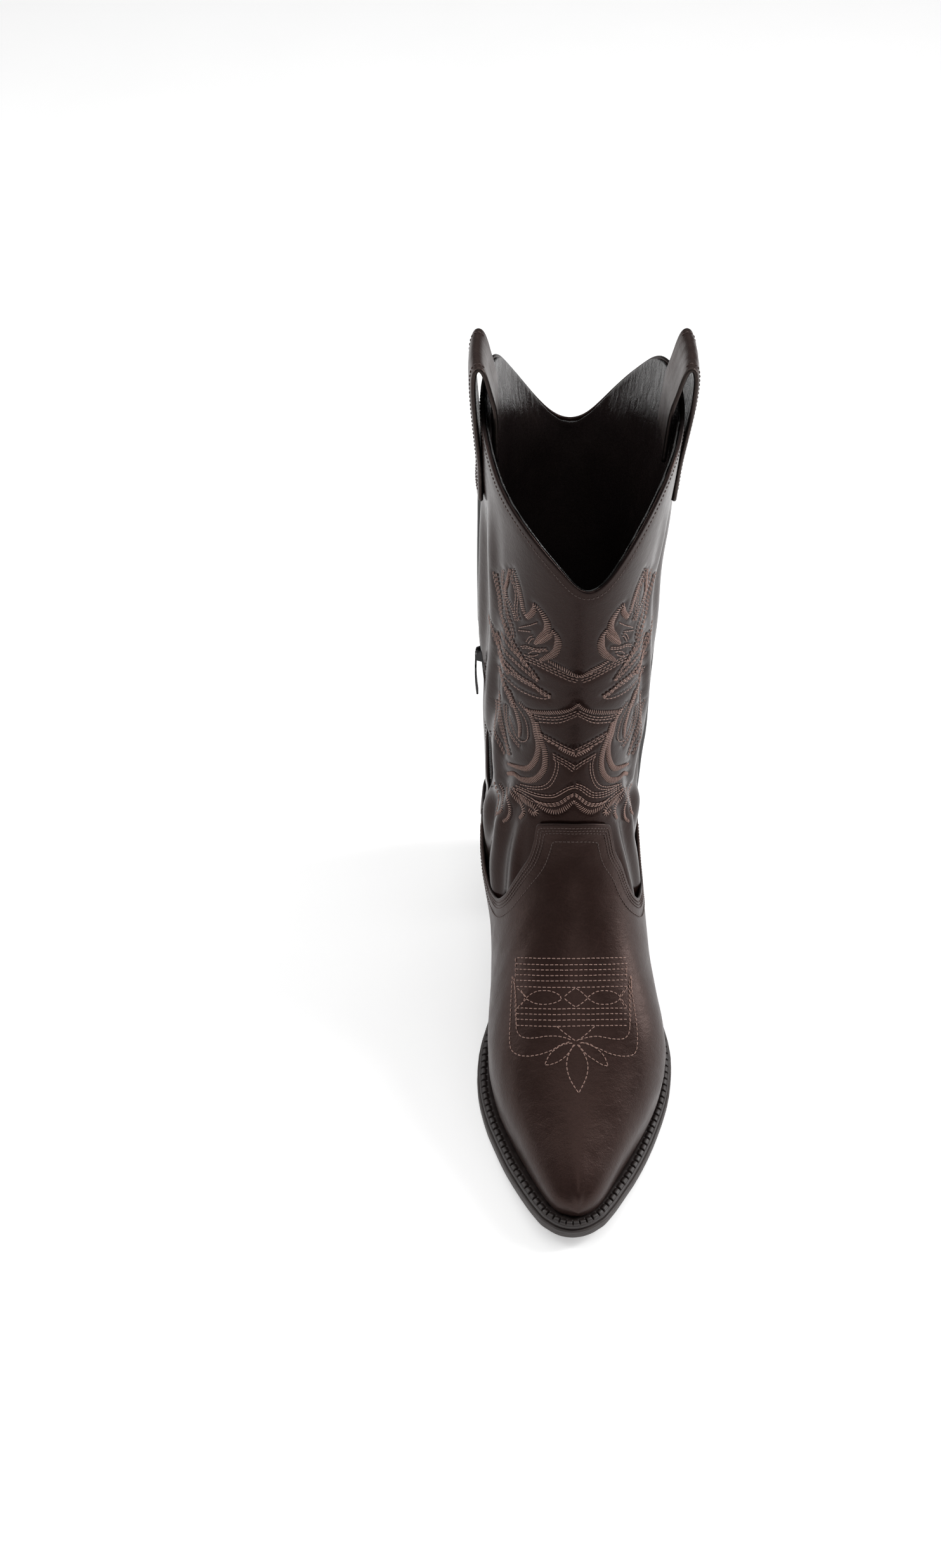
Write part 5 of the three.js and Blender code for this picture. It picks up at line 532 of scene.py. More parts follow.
class Threads:
    def __init__(self):
        self.A, self.B, self.Nn, self.R, self.H = [], [], [], [], []

    def put(self, A, B, n, r, base):
        self.A.append(A + n * base[:, None]); self.B.append(B + n * base[:, None]); self.Nn.append(n); self.R.append(np.full(len(A), r)); self.H.append(np.linalg.norm(B - A, axis=1))

    def run(self, sp, rows=(0.0,), pitch=2.2, fill=0.78, r=0.21, base=0.0, phase=0.0):
        """running stitches in parallel rows"""
        for k, off in enumerate(rows):
            dense, L = resample(sp, 0.8)
            if off:
                _, _, _, side = frame_of(dense); dense = slide(dense, side, off)
            q, L = resample(dense, pitch); m = max(1, len(q) - 1)
            u = np.arange(m) + (0.5 * (k % 2)) * 0.6; a, b = u + (1 - fill) / 2, u + 1 - (1 - fill) / 2
            b = np.minimum(b, len(q) - 1.0); idx = np.arange(len(q))
            keep = b - a > 0.2; a, b = a[keep], b[keep]
            sa, fa = np.interp(a, idx, q[:, 0]), np.interp(a, idx, q[:, 1]); sb, fb = np.interp(b, idx, q[:, 0]), np.interp(b, idx, q[:, 1])
            n = normal((sa + sb) / 2, (fa + fb) / 2); bs = base((sa + sb) / 2, (fa + fb) / 2) if callable(base) else np.full(len(a), base)
            self.put(P(sa, fa), P(sb, fb), n, r, bs)

    def comb(self, sp, length=2.6, pitch=1.15, taper=(0.45, 0.45), slant=0.15, r=0.22, base=0.0, shift=0.0):
        """short threads side by side across a curve"""
        q, L = resample(sp, pitch); p, t, n, side = frame_of(q); u = np.linspace(0, 1, len(q))
        ln = length * (1 - taper[0] * (1 - np.clip(u / 0.3, 0, 1))) * (1 - taper[1] * (1 - np.clip((1 - u) / 0.3, 0, 1)))
        d = side + slant * t; bs = base(q[:, 0], q[:, 1]) if callable(base) else np.full(len(q), base)
        self.put(p + d * (shift - 0.5) * ln[:, None], p + d * (shift + 0.5) * ln[:, None], n, r, bs)

    def points(self):
        return (np.concatenate(self.A) + np.concatenate(self.B)) / 2

    def build(self, name, mat, limit=3400, **kw):
        A, B, n, r = (np.concatenate(x) for x in (self.A, self.B, self.Nn, self.R)); made = []
        for part, i0 in enumerate(range(0, len(A), limit)):
            a, b, m, rr = A[i0:i0 + limit], B[i0:i0 + limit], n[i0:i0 + limit], r[i0:i0 + limit]
            d = b - a; L = np.linalg.norm(d, axis=1, keepdims=True); d = d / (L + 1e-9); w = np.cross(d, m); up = np.cross(w, d)
            V = []
            for u, lift, k in ((0.0, -0.55, 0.55), (0.14, 0.35, 0.92), (0.5, 0.75, 1.0), (0.86, 0.35, 0.92), (1.0, -0.55, 0.55)):
                c = a + (b - a) * u + up * (rr * lift)[:, None]
                for j in range(6):
                    th = 2 * math.pi * j / 6; V.append(c + (w * math.cos(th) + up * math.sin(th)) * (rr * k)[:, None])
            V = np.stack(V, 1).reshape(-1, 3); base = np.arange(len(a))[:, None, None] * 30; F = []
            for k in range(4):
                for j in range(6):
                    F.append([k * 6 + j, (k + 1) * 6 + j, (k + 1) * 6 + (j + 1) % 6, k * 6 + (j + 1) % 6])
            F += [[0, 1, 2, 3], [0, 3, 4, 5], [27, 26, 25, 24], [29, 28, 27, 24]]
            Q = (base + np.array(F)[None]).reshape(-1, 4)
            made.append(mesh(f"{name}_{part + 1}", W(V), Q, mat, **kw))
        return made


def to_back(sp, side):
    """the same drawing on the back panel, at the same height"""
    sp = np.asarray(sp, float); z = P(sp[:, 0], sp[:, 1])[:, 2]; f = side * (2 - np.abs(sp[:, 1]))
    lo, hi = np.full(len(sp), 12.0), np.full(len(sp), 23.0)
    for _ in range(40):
        mid = (lo + hi) / 2; up = P(mid, f)[:, 2] < z; lo = np.where(up, mid, lo); hi = np.where(up, hi, mid)
    return np.stack([lo, f], -1)


R3 = (-1.5, 0.0, 1.5); R2 = (-0.8, 0.8)
ART = {  # name: (kind, settings)
    "flameA": ("comb", dict(length=2.6, taper=(0.7, 0.1))), "flameB": ("comb", dict(length=3.2, taper=(0.1, 0.8))), "flameC": ("comb", dict(length=3.6, taper=(0.7, 0.5))),
    "flameD": ("comb", dict(length=2.8, taper=(0.5, 0.8))), "flameE": ("comb", dict(length=3.8, taper=(0.7, 0.5))),
    "dashA": ("run", dict(pitch=1.7)), "dashB": ("run", dict(pitch=1.7)), "dashC": ("run", dict(rows=(0, 1.0), pitch=2.0)), "dashD": ("run", dict(rows=(0, 1.4), pitch=1.5)),
    "dashE": ("run", dict(pitch=2.0)), "dashF": ("run", dict(pitch=1.4)),
    "vee1": ("run", dict(rows=(-1.7, 0, 1.7))), "veecomb": ("comb", dict(length=2.4, slant=0.5)),
    "bladeA": ("run", dict(rows=(-0.6, 0.6))), "bladeA2": ("run", dict(rows=(-0.5, 0.6))), "bladeB": ("run", dict(rows=(-0.6, 0.6))), "bladeB2": ("run", dict(rows=(-0.5, 0.6))), "bladeB3": ("run", dict(rows=(0,))),
    "strand1": ("run", dict(rows=(-1.3, 0, 1.3))), "strand2": ("run", dict(rows=(-0.7, 0.7))), "strand3": ("comb", dict(length=2.2)), "strand4": ("run", dict(rows=R2)),
    "strand5": ("run", dict(rows=(-1.3, 0, 1.3))), "strand6": ("run", dict(rows=(-1.3, 0, 1.3))), "strand7": ("run", dict(rows=R2)),
    "s8": ("comb", dict(length=2.6)), "s9": ("run", dict(rows=(0,), pitch=1.7)), "s10": ("run", dict(rows=R2, pitch=1.8)), "s11": ("run", dict(rows=(-1.2, 0, 1.2))), "s12": ("run", dict(rows=R2)),
    "brak1": ("comb", dict(length=2.4, slant=0.3)), "brak2": ("run", dict(rows=(-0.8, 0.8))), "brak3": ("run", dict(rows=(0,))),
    "hook1": ("comb", dict(length=3.3, taper=(0.3, 0.6))), "hook2": ("comb", dict(length=3.3, taper=(0.3, 0.4))),
    "vb1": ("run", dict(rows=(0, 1.3))), "vb2": ("run", dict()), "vb3": ("run", dict()), "vbcomb": ("comb", dict(length=2.6)),
    "m1": ("run", dict()), "m2": ("run", dict(rows=(0, 1.5))), "m3": ("run", dict(pitch=1.9)), "m4": ("run", dict(pitch=1.9)),
    "l1": ("run", dict(rows=(0, 1.3))), "l2": ("run", dict()), "l3": ("run", dict()), "l4": ("run", dict()), "l5": ("run", dict()), "lcomb": ("comb", dict(length=2.6, slant=-0.3)),
    "dr1": ("comb", dict(length=3.0, taper=(0.6, 0.3))), "dr2": ("comb", dict(length=2.8, taper=(0.6, 0.3))), "dr3": ("comb", dict(length=2.6, taper=(0.6, 0.3))), "dr4": ("comb", dict(length=2.4)), "dr5": ("run", dict(rows=R2)), "dr6": ("run", dict(rows=R2)),
}
def folds(S, PH):
    """soft lengthwise folds on the sides of the shaft and slanting ones above the side dips"""
    a = np.abs(signed(PH)); a = np.where(a > 1, 2 - a, a)
    side = step(0.5, 0.72, a) * (1 - step(0.93, 1.0, a)) * step(9.5, 12, S) * (1 - step(20.5, 22, S))
    f1 = np.sin(a * 30 + 1.5 * np.sin(S * 0.75) + 0.55 * S + signed(PH) * 0.7) * 0.85 + 0.5 * np.sin(a * 17 - 0.8 * S + 1.3 + signed(PH))
    low = step(8.2, 9.2, S) * (1 - step(11.6, 13.2, S)) * step(0.36, 0.55, a) * (1 - step(0.9, 1.0, a))
    f2 = np.sin(2 * math.pi * ((S - 9) * 0.42 + (a - 0.5) * 3.1)) * 1.15
    return 1.35 * side * f1 + 1.3 * low * f2


def fold_base(s, f):
    s, f = np.asarray(s, float), np.asarray(f, float); return 0.35 + folds(s, f) * step(0.02, 0.35, topLine(f) - s)


shaft_threads = {"front": Threads(), "back": Threads()}
for key, (kind, kw) in ART.items():
    base = np.array(CURVES[key], float); a = np.abs(base[:, 1]); lim = seam(base[:, 0]) - 0.05
    for side in (-1, 1):
        sp = base.copy(); sp[:, 1] = side * np.minimum(a, lim) if key not in ("vee1", "brak2", "brak3", "l1", "l2", "l3", "l4", "l5", "vb1", "vb2", "vb3", "m1", "m2") else side * a
        getattr(shaft_threads["front"], kind)(sp, base=fold_base, **kw)
        getattr(shaft_threads["back"], kind)(to_back(sp, side), base=fold_base, **kw)


def relief(points_mm, S, PH, tree_pts, depth=0.5, r0=1.3):
    """quilting: the leather is drawn down along the stitch lines and puffs up between them"""
    tree = kdtree.KDTree(len(tree_pts))
    for i, p in enumerate(tree_pts): tree.insert(p, i)
    tree.balance(); flat = points_mm.reshape(-1, 3)
    d = np.array([tree.find(p)[2] for p in flat]).reshape(S.shape)
    return depth * (1 - np.exp(-(d / r0 / 1.6) ** 2)) - 0.12


def panel(name, front, low_fn, d0, d1, cols, rows, drop, mat, hides, slot, rel=None, inner_fn=None, top_blend=None):
    q = np.linspace(-1, 1, cols)

    def phi_at(s, q):
        sd = np.where(q < 0, -1, 1) if front else np.where(q < 0, 1, -1)
        e = np.where(sd > 0, np.abs(edgePhi(s, 1, front)), np.abs(edgePhi(s, -1, front)))
        return sd * np.where(front, np.abs(q) * e, e + (2 - e) * (1 - np.abs(q)))
    lo = np.full(cols, 12.0)
    for _ in range(60): lo += 0.4 * (low_fn(np.abs(phi_at(lo, q))) - lo)
    hi = topLine(phi_at(np.full(cols, 22.5), q)) - drop
    v = np.linspace(0, 1, rows)
    base = lo[:, None] + (hi - lo)[:, None] * v[None]
    S = base; PH = phi_at(S, q[:, None] * np.ones_like(S))
    out = -d0 * np.ones_like(S)
    if rel is not None: out = out + rel(S, PH)
    inn = -d1 * np.ones_like(S)
    if top_blend: k = step(0.90, 1.0, v)[None]; out = out + k * top_blend; inn = inn + k * top_blend
    return shell(name, S, PH, out, inn, mat, hides=hides, slot=slot)


def rel_shaft(which):
    pts = shaft_threads[which].points()

    def f(S, PH):
        top = topLine(PH); edge_fade = step(0.02, 0.35, top - S)
        return (relief(at(S, PH, np.zeros_like(S)), S, PH, pts) + folds(S, PH)) * edge_fade + 0.12 * (1 - edge_fade)
    return f


RES = 1.0
panel("shaft_front_leather", True, frontLow, 0, 1.6, int(170 * RES), int(210 * RES), 0, m_shaft, ["shaft_front"], "brown_leather", rel_shaft("front"))
panel("shaft_back_leather", False, backLow, 0, 1.6, int(170 * RES), int(190 * RES), 0, m_shaft, ["shaft_back"], "brown_leather", rel_shaft("back"))


def crinkle(S, PH):
    w = np.sin(PH * 52 + 2.6 * np.sin(S * 1.7 + PH * 3)) + 0.6 * np.sin(PH * 83 - 2.0 * np.sin(S * 2.9 - PH * 4) + 1.1)
    a = np.abs(signed(PH)); pocket = np.exp(-((np.hypot((a - 1.30) * 44, (S - 20.2) * 15) - 13) / 1.1) ** 2) * step(19.6, 20.4, S)
    return 0.42 * w * (0.35 + 0.65 * step(18.5, 21, S)) * (0.4 + 0.6 * np.sin(S * 2.3 + PH * 6) ** 2) + 0.5 * pocket


panel("shaft_lining_front_leather", True, lambda a: footEdge(np.minimum(a, 1.06)) + 0.3, 3.0, 4.0, int(120 * RES), int(120 * RES), 0.03, m_lining, ["shaft_lining_front"], "black_leather", crinkle, top_blend=1.15)
panel("shaft_lining_back_leather", False, liningBackLow, 3.0, 4.0, int(120 * RES), int(120 * RES), 0.03, m_lining, ["shaft_lining_back"], "black_leather", crinkle, top_blend=1.15)

# ------------------------------------------------------------------ vamp and counter
n_c, n_r = int(230 * RES), int(200 * RES)
ph = np.linspace(-2, 2, n_c)
knots = np.unique(np.round(np.concatenate([ph, [x * sg for x in (0.22, 0.24, 0.26, 0.27, 0.28, 0.29, 0.3, 0.31, 0.32, 0.335, 0.345, 0.36, 0.93, 0.955, 0.97, 0.985, 0.995) for sg in (-1, 1)]]), 5))
v = np.linspace(0, 1, n_r) ** 1.0
S = vampLine(knots)[:, None] * v[None]; PH = knots[:, None] * np.ones_like(S)


def vamp_lift(S, PH):
    return 0.8 * step(7.4, 8.5, S) * (1 - step(1.3, 1.95, np.abs(PH)))


vamp_top = np.concatenate([[x] for x in (vampLine(knots),)])
pad = 0.14 * np.sin(S * 3.1 + PH * 4) * np.sin(PH * 7 + S) * step(1.5, 5, S) + 0.10 * np.sin(S * 5.3 - PH * 9 + 1.2) * np.sin(PH * 13 - S * 2) * step(3, 6, S)
ridge = 0.95 * np.exp(-(PH / 0.15) ** 2) * step(0.4, 1.4, S) * (1 - step(2.8, 5.0, S))
shell("vamp_leather", S, PH, 1.75 + vamp_lift(S, PH) + pad + ridge, 0.35 + vamp_lift(S, PH), m_vamp, skip_start=True, hides=["vamp"], slot="brown_leather")


def heel_cols(bottom, top, n, rows):
    us = np.linspace(0, 1, n); cols = []
    for side in (-1, 1):
        for u in (us if side < 0 else us[:-1][::-1]):
            e = 1 - (1 - u) ** 1.6; k = u * (len(top) - 1); i = min(int(k), len(top) - 2); t = k - i
            # the top line is read linearly between its table points
            sb = bottom[0] + (bottom[1] - bottom[0]) * e
            st, pt = np.interp(k, np.arange(len(top)), top[:, 0]), np.interp(k, np.arange(len(top)), top[:, 1])
            vv = np.linspace(0, 1, rows); cols.append(np.stack([sb + (st - sb) * vv, side * (2 + (pt - 2) * vv), vv], -1))
    return np.array(cols)


def smooth_table(tab, n=61):
    k = np.arange(len(tab)); u = np.linspace(0, len(tab) - 1, n); out = np.stack([np.interp(u, k, tab[:, j]) for j in (0, 1)], -1)
    for _ in range(14): out[1:-1] = (out[:-2] + 2 * out[1:-1] + out[2:]) / 4
    return out


ht = smooth_table(HEEL_TOP)
c = heel_cols([9.93, 13.0], ht, int(110 * RES), int(70 * RES))
lift = 1.3 * 0.8 * np.sqrt(c[..., 2])
shell("counter_leather", c[..., 0], c[..., 1], 1.75 + lift + 0.06 * np.sin(c[..., 0] * 5 + c[..., 1] * 9), 0.35 + lift, m_vamp, hides=["counter"], slot="brown_leather")
c = heel_cols([9.35, 13.0], np.stack([LINING_JOIN[:, 0] - 0.14, LINING_JOIN[:, 1]], -1), 40, 24)
shell("heel_lining_leather", c[..., 0], c[..., 1], -(2.6 + 1.2 * c[..., 2]), -(3.6 + 1.2 * c[..., 2]), m_tan, hides=["heel_lining"], slot="tan_lining")
lp = np.linspace(-2, 2, 90); ls = 0.75 + (footEdge(np.abs(lp)) - 0.75)[:, None] * np.linspace(0, 1, 60)[None]; LP = lp[:, None] * np.ones_like(ls)
dd = step(6.2, 7.9, ls)
shell("vamp_lining_leather", ls, LP, -(1.35 + 1.65 * dd), -(2.3 + 1.7 * dd), m_tan, hides=["vamp_lining"], slot="tan_lining")

# ------------------------------------------------------------------ decoration and seams on the foot
foot = Threads(); dark = Threads()
VB = lambda s, f: 1.82 + vamp_lift(s, f)
for key, sp in CURVES.items():
    if key in ART: continue
    foot.run(np.array(sp, float), pitch=2.35, fill=0.74, r=0.25, base=lambda s, f: VB(s, f) + 0.02)


def edge_rows(th, sp, offs, base, pitch=2.0, r=0.24, sign=1, fill=0.75):
    d, L = resample(sp, 0.7)
    for k, off in enumerate(offs):
        _, _, _, side = frame_of(d)
        e = slide(d, side * sign, off); th.run(e, rows=(0.0,), pitch=pitch, fill=fill, r=r, base=base)


vk = np.linspace(-1.9, 1.9, 900); vs = np.stack([vampLine(vk), vk], -1)


def offset_line(fn, phis, d):
    """a line d millimetres inside the vamp's edge, by distance to the edge"""
    e = np.stack([fn(phis), phis], -1); p, t, n, side = frame_of(e)
    q = slide(e, -side, d * np.ones(len(e))) if (slide(e[:1], -side[:1], np.array([1.0]))[0, 0] < e[0, 0]) else slide(e, side, d * np.ones(len(e)))
    # drop the points that came closer to another part of the edge
    pq = P(q[:, 0], q[:, 1]); keep = np.array([np.min(np.linalg.norm(p - x, axis=1)) > d * 0.93 for x in pq]); return q[keep]


for d in (1.6, 3.1, 4.6):
    dark.run(offset_line(vampLine, vk[(vk > -0.975) & (vk < 0.975)], d), pitch=1.7, r=0.22, base=VB)
foot_dark_row = offset_line(vampLine, vk[(vk > -0.975) & (vk < 0.975)], 9.2); dark.run(foot_dark_row, pitch=1.9, r=0.24, base=VB)
for sg in (-1, 1):  # rows beside the vamp's rear edge and the counter's edges
    a = np.linspace(1.05, 1.8, 40); dark.run(np.stack([11.15 - 1.55 * (a - TIP) / (2 - TIP), sg * a], -1), rows=(0, 1.5), pitch=1.8, r=0.22, base=VB)
    e = np.stack([ht[:, 0], sg * ht[:, 1]], -1)
    _, _, _, side = frame_of(e); e1 = slide(e, side, 1.8 * np.ones(len(e))); flip = P(*e1[30])[2] > P(*e[30])[2]
    for d in (1.8, 3.4):
        dark.run(slide(e, side * (-1 if flip else 1), d * np.ones(len(e)))[1:], pitch=1.8, r=0.22, base=2.78)
# rim stitch all round, side seams, zip edges
tk = np.linspace(-2, 2, 500); rim = np.stack([topLine(tk), tk], -1)
_, _, _, side = frame_of(rim); probe = slide(rim[250:251], side[250:251], np.array([1.0]))[0, 0] < rim[250, 0]
rim_in = slide(rim, side * (1 if probe else -1), 3.2 * np.ones(len(rim)))
dark2 = Threads(); dark2.run(rim_in, pitch=2.1, r=0.24, base=0.12)
for sg in (-1, 1):
    for front in (True, False):
        ss = np.linspace(12.0, 22.7, 200); ep = np.abs(edgePhi(ss, sg, front)); off = (-1 if front else 1) * 2.0 / perPhi(ss, sg * ep)
        if not front: ss2 = ss[ss > 12.8]; ep = ep[ss > 12.8]; off = off[ss > 12.8]
        else: ss2 = ss
        dark2.run(np.stack([ss2, sg * (ep + off)], -1), pitch=2.0, r=0.22, base=0.1)

for th, nm, mt in ((shaft_threads["front"], "embroidery_shaft_front", m_thread), (shaft_threads["back"], "embroidery_shaft_back", m_thread), (foot, "embroidery_vamp", m_thread), (dark, "seam_thread_foot", m_dark_thread), (dark2, "seam_thread_shaft", m_dark_thread)):
    th.build(nm, mt)

# ------------------------------------------------------------------ piping beside the seams
def along_seam(sg, s0, s1, n, w0, w1, m):
    ss = np.linspace(s0, s1, n)[None] * np.ones((m, 1)); w = np.linspace(w0, w1, m)[:, None]; p = seam(ss)
    return ss, sg * p + w / perPhi(ss, sg * p)


for sg, s0, nm in ((1, 11.75, "lateral"), (-1, 18.5, "medial")):
    ss, pp = along_seam(sg, s0, 21.15, 220, -1.5, 1.5, 9); w = np.linspace(-1, 1, 9)[:, None]
    hgt = 0.9 + 1.2 * np.sqrt(np.maximum(1 - w * w, 0)) * np.ones_like(ss)
    shell("side_piping_" + nm + "_cord", ss, pp, hgt, 0.55, m_piping, hides=["side_piping_" + nm], slot="black_leather")

# ------------------------------------------------------------------ pull straps
def strap(sg, name):
    def wall(z):
        lo, hi = 17.0, 23.0
        for _ in range(40):
            mid = (lo + hi) / 2
            if P(mid, sg * seam(mid))[2] < z: lo = mid
            else: hi = mid
        return float(P(lo, sg * seam(lo))[0])
    x347, x343 = wall(347), wall(343)
    raw = [[304, 1.6], [312, 1.6], [322, 1.7], [332, 2.5], [342, 3.2], [352, 3.9], [360, 4.3], [366, 4.3], [370.2, 3.5], [371.6, 1.9], [370.4, 0.1], [366, -1.5], [360, -2.9], [354, -4.6], [349, -5.7], [342, -5.8], [334, -5.8], [325, -5.8]]
    pts = np.array([[(wall(z) if z < 347 else x347 + (x347 - x343) / 4 * min(z - 347, 3)) + sg * e, z] for z, e in raw])
    k = np.arange(len(pts)); u = np.linspace(0, len(pts) - 1, 150); pts = np.stack([np.interp(u, k, pts[:, j]) for j in (0, 1)], -1)
    for _ in range(24): pts[1:-1] = (pts[:-2] + 2 * pts[1:-1] + pts[2:]) / 4
    t = np.gradient(pts, axis=0); t /= np.linalg.norm(t, axis=1, keepdims=True); nn = np.stack([t[:, 1], -t[:, 0]], -1)
    ws = np.linspace(-15, 15, 33); O, I = [], []
    for w in ws:
        sag = -sg * w * w / 230; f = 56.4 + w + (347 - pts[:, 1]) * 0.0711; T2 = 1.15
        wob = 0.07 * np.sin(np.arange(150) * 0.07 + w * 0.23) + 0.05 * np.sin(w * 0.9 + np.arange(150) * 0.05)
        O.append(np.stack([pts[:, 0] + nn[:, 0] * (T2 + wob) + sag, f, pts[:, 1] + nn[:, 1] * (T2 + wob)], -1)); I.append(np.stack([pts[:, 0] - nn[:, 0] * T2 + sag, f, pts[:, 1] - nn[:, 1] * T2], -1))
    so = sheet(name + "_leather", np.array(O), np.array(I), m_strap, hides=[name], slot="brown_leather", edge_w=1)
    # the face turned into the loop gets the black lining material, so it shows dark
    if so is not None and hasattr(so, "data"):
        so.data.materials.append(m_lining); nq = (len(O) - 1) * (len(O[0]) - 1)
        oo, ii = np.array(O)[16, 75], np.array(I)[16, 75]; lower = oo[2] < ii[2]
        for k in range(0 if lower else nq, nq if lower else 2 * nq): so.data.polygons[k].material_index = 1
    # edge stitches on the outer face
    th = Threads(); O = np.array(O); I = np.array(I)
    outward = np.sign((O[16, 20] - I[16, 20])[0]) == sg
    F = O if outward else I; G = I if outward else O
    for wi in (3, 29):
        line = F[wi, 3:92]; nrm = line - G[wi, 3:92]; nrm /= np.linalg.norm(nrm, axis=1, keepdims=True)
        d = np.r_[0, np.cumsum(np.linalg.norm(np.diff(line, axis=0), axis=1))]; m = int(d[-1] / 2.1)
        a = (np.arange(m) + 0.14) * 2.1; b = (np.arange(m) + 0.86) * 2.1
        A = np.stack([np.interp(a, d, line[:, j]) for j in range(3)], -1); B = np.stack([np.interp(b, d, line[:, j]) for j in range(3)], -1); Nn = np.stack([np.interp((a + b) / 2, d, nrm[:, j]) for j in range(3)], -1)
        th.put(A, B, Nn, 0.24, np.full(m, 0.05))
    for zi in (3, 5):  # bar across the lower end
        line = F[4:29, zi]; nrm = (line - G[4:29, zi]); nrm /= np.linalg.norm(nrm, axis=1, keepdims=True)
        d = np.r_[0, np.cumsum(np.linalg.norm(np.diff(line, axis=0), axis=1))]; m = int(d[-1] / 2.1)
        a = (np.arange(m) + 0.14) * 2.1; b = (np.arange(m) + 0.86) * 2.1
        A = np.stack([np.interp(a, d, line[:, j]) for j in range(3)], -1); B = np.stack([np.interp(b, d, line[:, j]) for j in range(3)], -1); Nn = np.stack([np.interp((a + b) / 2, d, nrm[:, j]) for j in range(3)], -1)
        th.put(A, B, Nn, 0.24, np.full(m, 0.05))
    th.build(name + "_thread", m_dark_thread)


strap(1, "pull_strap_lateral"); strap(-1, "pull_strap_medial")

# ------------------------------------------------------------------ zip
zp0 = lambda z: np.array([-41.45 - (z - 105) * 0.0338, 74 - (z - 95) * 0.0711, z])
U = zp0(200) - zp0(110); U /= np.linalg.norm(U); Nz = np.array([-1.0, 0, 0]) + U * U[0]; Nz /= np.linalg.norm(Nz); Wz = np.cross(Nz, U); Wz *= np.sign(Wz[1])
zp = lambda u, w, n: zp0(101) + U * u + Wz * w + Nz * n
zu = lambda z: (z - 101) / U[2]
ss, pp = along_seam(-1, 11.72, 18.15, 150, -13, -3.0, 12); shell("zip_tape_back_cloth", ss, pp, -2.0 + 0.0 * ss, -2.6, m_tape, hides=["zip_tape_back"], slot="zip_tape")
ss, pp = along_seam(-1, 11.72, 18.15, 150, 5.2, 13, 12); shell("zip_tape_front_cloth", ss, pp, -2.0 + 0.0 * ss, -2.6, m_tape, hides=["zip_tape_front"], slot="zip_tape")
ss, pp = along_seam(-1, 11.75, 18.6, 120, -13, 10, 24); shell("zip_guard_leather", ss, pp, -6.2 + 0.25 * np.sin(ss * 3), -7.2, m_lining, hides=["zip_guard"], slot="black_leather")


def rod(path, r, sides=8):
    path = np.asarray(path, float); t = np.gradient(path, axis=0); t /= np.linalg.norm(t, axis=1, keepdims=True); ref = np.where(np.abs(t @ Nz)[:, None] > 0.9, U, Nz)
    a = np.cross(t, ref); a /= np.linalg.norm(a, axis=1, keepdims=True); b = np.cross(t, a); n = len(path); V = []
    rr = np.full(n, r); rr[0] *= 0.6; rr[-1] *= 0.6
    for j in range(sides):
        th = 2 * math.pi * j / sides; V.append(path + (a * math.cos(th) + b * math.sin(th)) * rr[:, None])
    V = np.stack(V, 1).reshape(-1, 3); F = [[i * sides + j, (i + 1) * sides + j, (i + 1) * sides + (j + 1) % sides, i * sides + (j + 1) % sides] for i in range(n - 1) for j in range(sides)]
    V = np.vstack([V, path[:1], path[-1:]]); c0, c1 = len(V) - 2, len(V) - 1
    T = [[c0, (j + 1) % sides, j] for j in range(sides)] + [[c1, (n - 1) * sides + j, (n - 1) * sides + (j + 1) % sides] for j in range(sides)]
    return V, np.array(F), np.array(T)


def join(parts):
    V, F, T, o = [], [], [], 0
    for v, f, t in parts:
        V.append(v); F.append(f + o); T.append(t + o); o += len(v)
    return np.concatenate(V), np.concatenate(F), np.concatenate(T)


u0, u1 = zu(119.0), zu(209.5)
for nm, sg in (("zip_teeth_front", 1), ("zip_teeth_back", -1)):
    parts = [rod([zp(u, sg * 2.75, -1.9) for u in np.linspace(u0, u1, 60)], 0.42)]
    cnt = int((u1 - u0) / 1.5)
    for i in range(cnt):
        u = u0 + 0.75 + i * 1.5 + (0.0 if sg > 0 else 0.75)
        if u > u1: break
        th = np.linspace(0, math.pi, 9)  # a coil turn: from the tape over the top to the middle and back
        parts.append(rod([zp(u + 0.25 * math.sin(2 * a), sg * (1.75 + 1.0 * math.cos(a)), -1.95 + 0.85 * math.sin(a)) for a in th], 0.36, 6))
    V, F, T = join(parts); mesh(nm + "_coil", W(V), F, m_teeth, tris=T, hides=[nm], slot="zip_coil")

# ------------------------------------------------------------------ bottom: welt, outsole, heel
SOLE = np.array([[281.3, -1.6, -1.0], [280.6, -6.3, 3.6], [278.6, -10.4, 8.4], [273.5, -16.6, 15.0], [265, -22.0, 21.0], [257, -26.3, 25.8], [249, -30.2, 30.6], [241, -33.8, 34.8], [232.5, -37.0, 38.8], [224, -39.9, 42.4], [216, -42.6, 45.4], [208, -44.7, 48.3], [200, -46.4, 50.8], [192, -47.5, 52.7], [184, -47.9, 53.9], [176, -47.7, 54.7], [168, -47.0, 54.8], [160, -45.4, 53.9], [152, -43.0, 52.0], [143, -40.0, 48.8], [130, -36.4, 43.2], [115, -33.8, 38.0], [100, -33.6, 34.2], [88, -34.6, 31.3], [76.5, -35.4, 29.4], [76, -35.5, 29.3], [62, -35.7, 28.0], [52, -35.1, 27.2], [42, -33.8, 26.2], [32, -31.8, 24.5], [24, -29.6, 22.6], [17, -26.6, 20.0], [11, -22.6, 16.6], [7, -18.6, 12.8], [4.2, -13.6, 8.2], [2.9, -8.6, 3.4], [2.5, -3.4, -1.8]])
sk = np.arange(2, 13.0001, 0.02); fz = np.stack([COL[2](sk), COL[3](sk)], -1); fz = fz[np.argsort(fz[:, 0])]; b2 = (float(COL[2](2)), float(COL[3](2)))
fz = np.vstack([fz, [[274, b2[1] + (274 - b2[0]) * 0.15], [290, b2[1] + (290 - b2[0]) * 0.15]]])
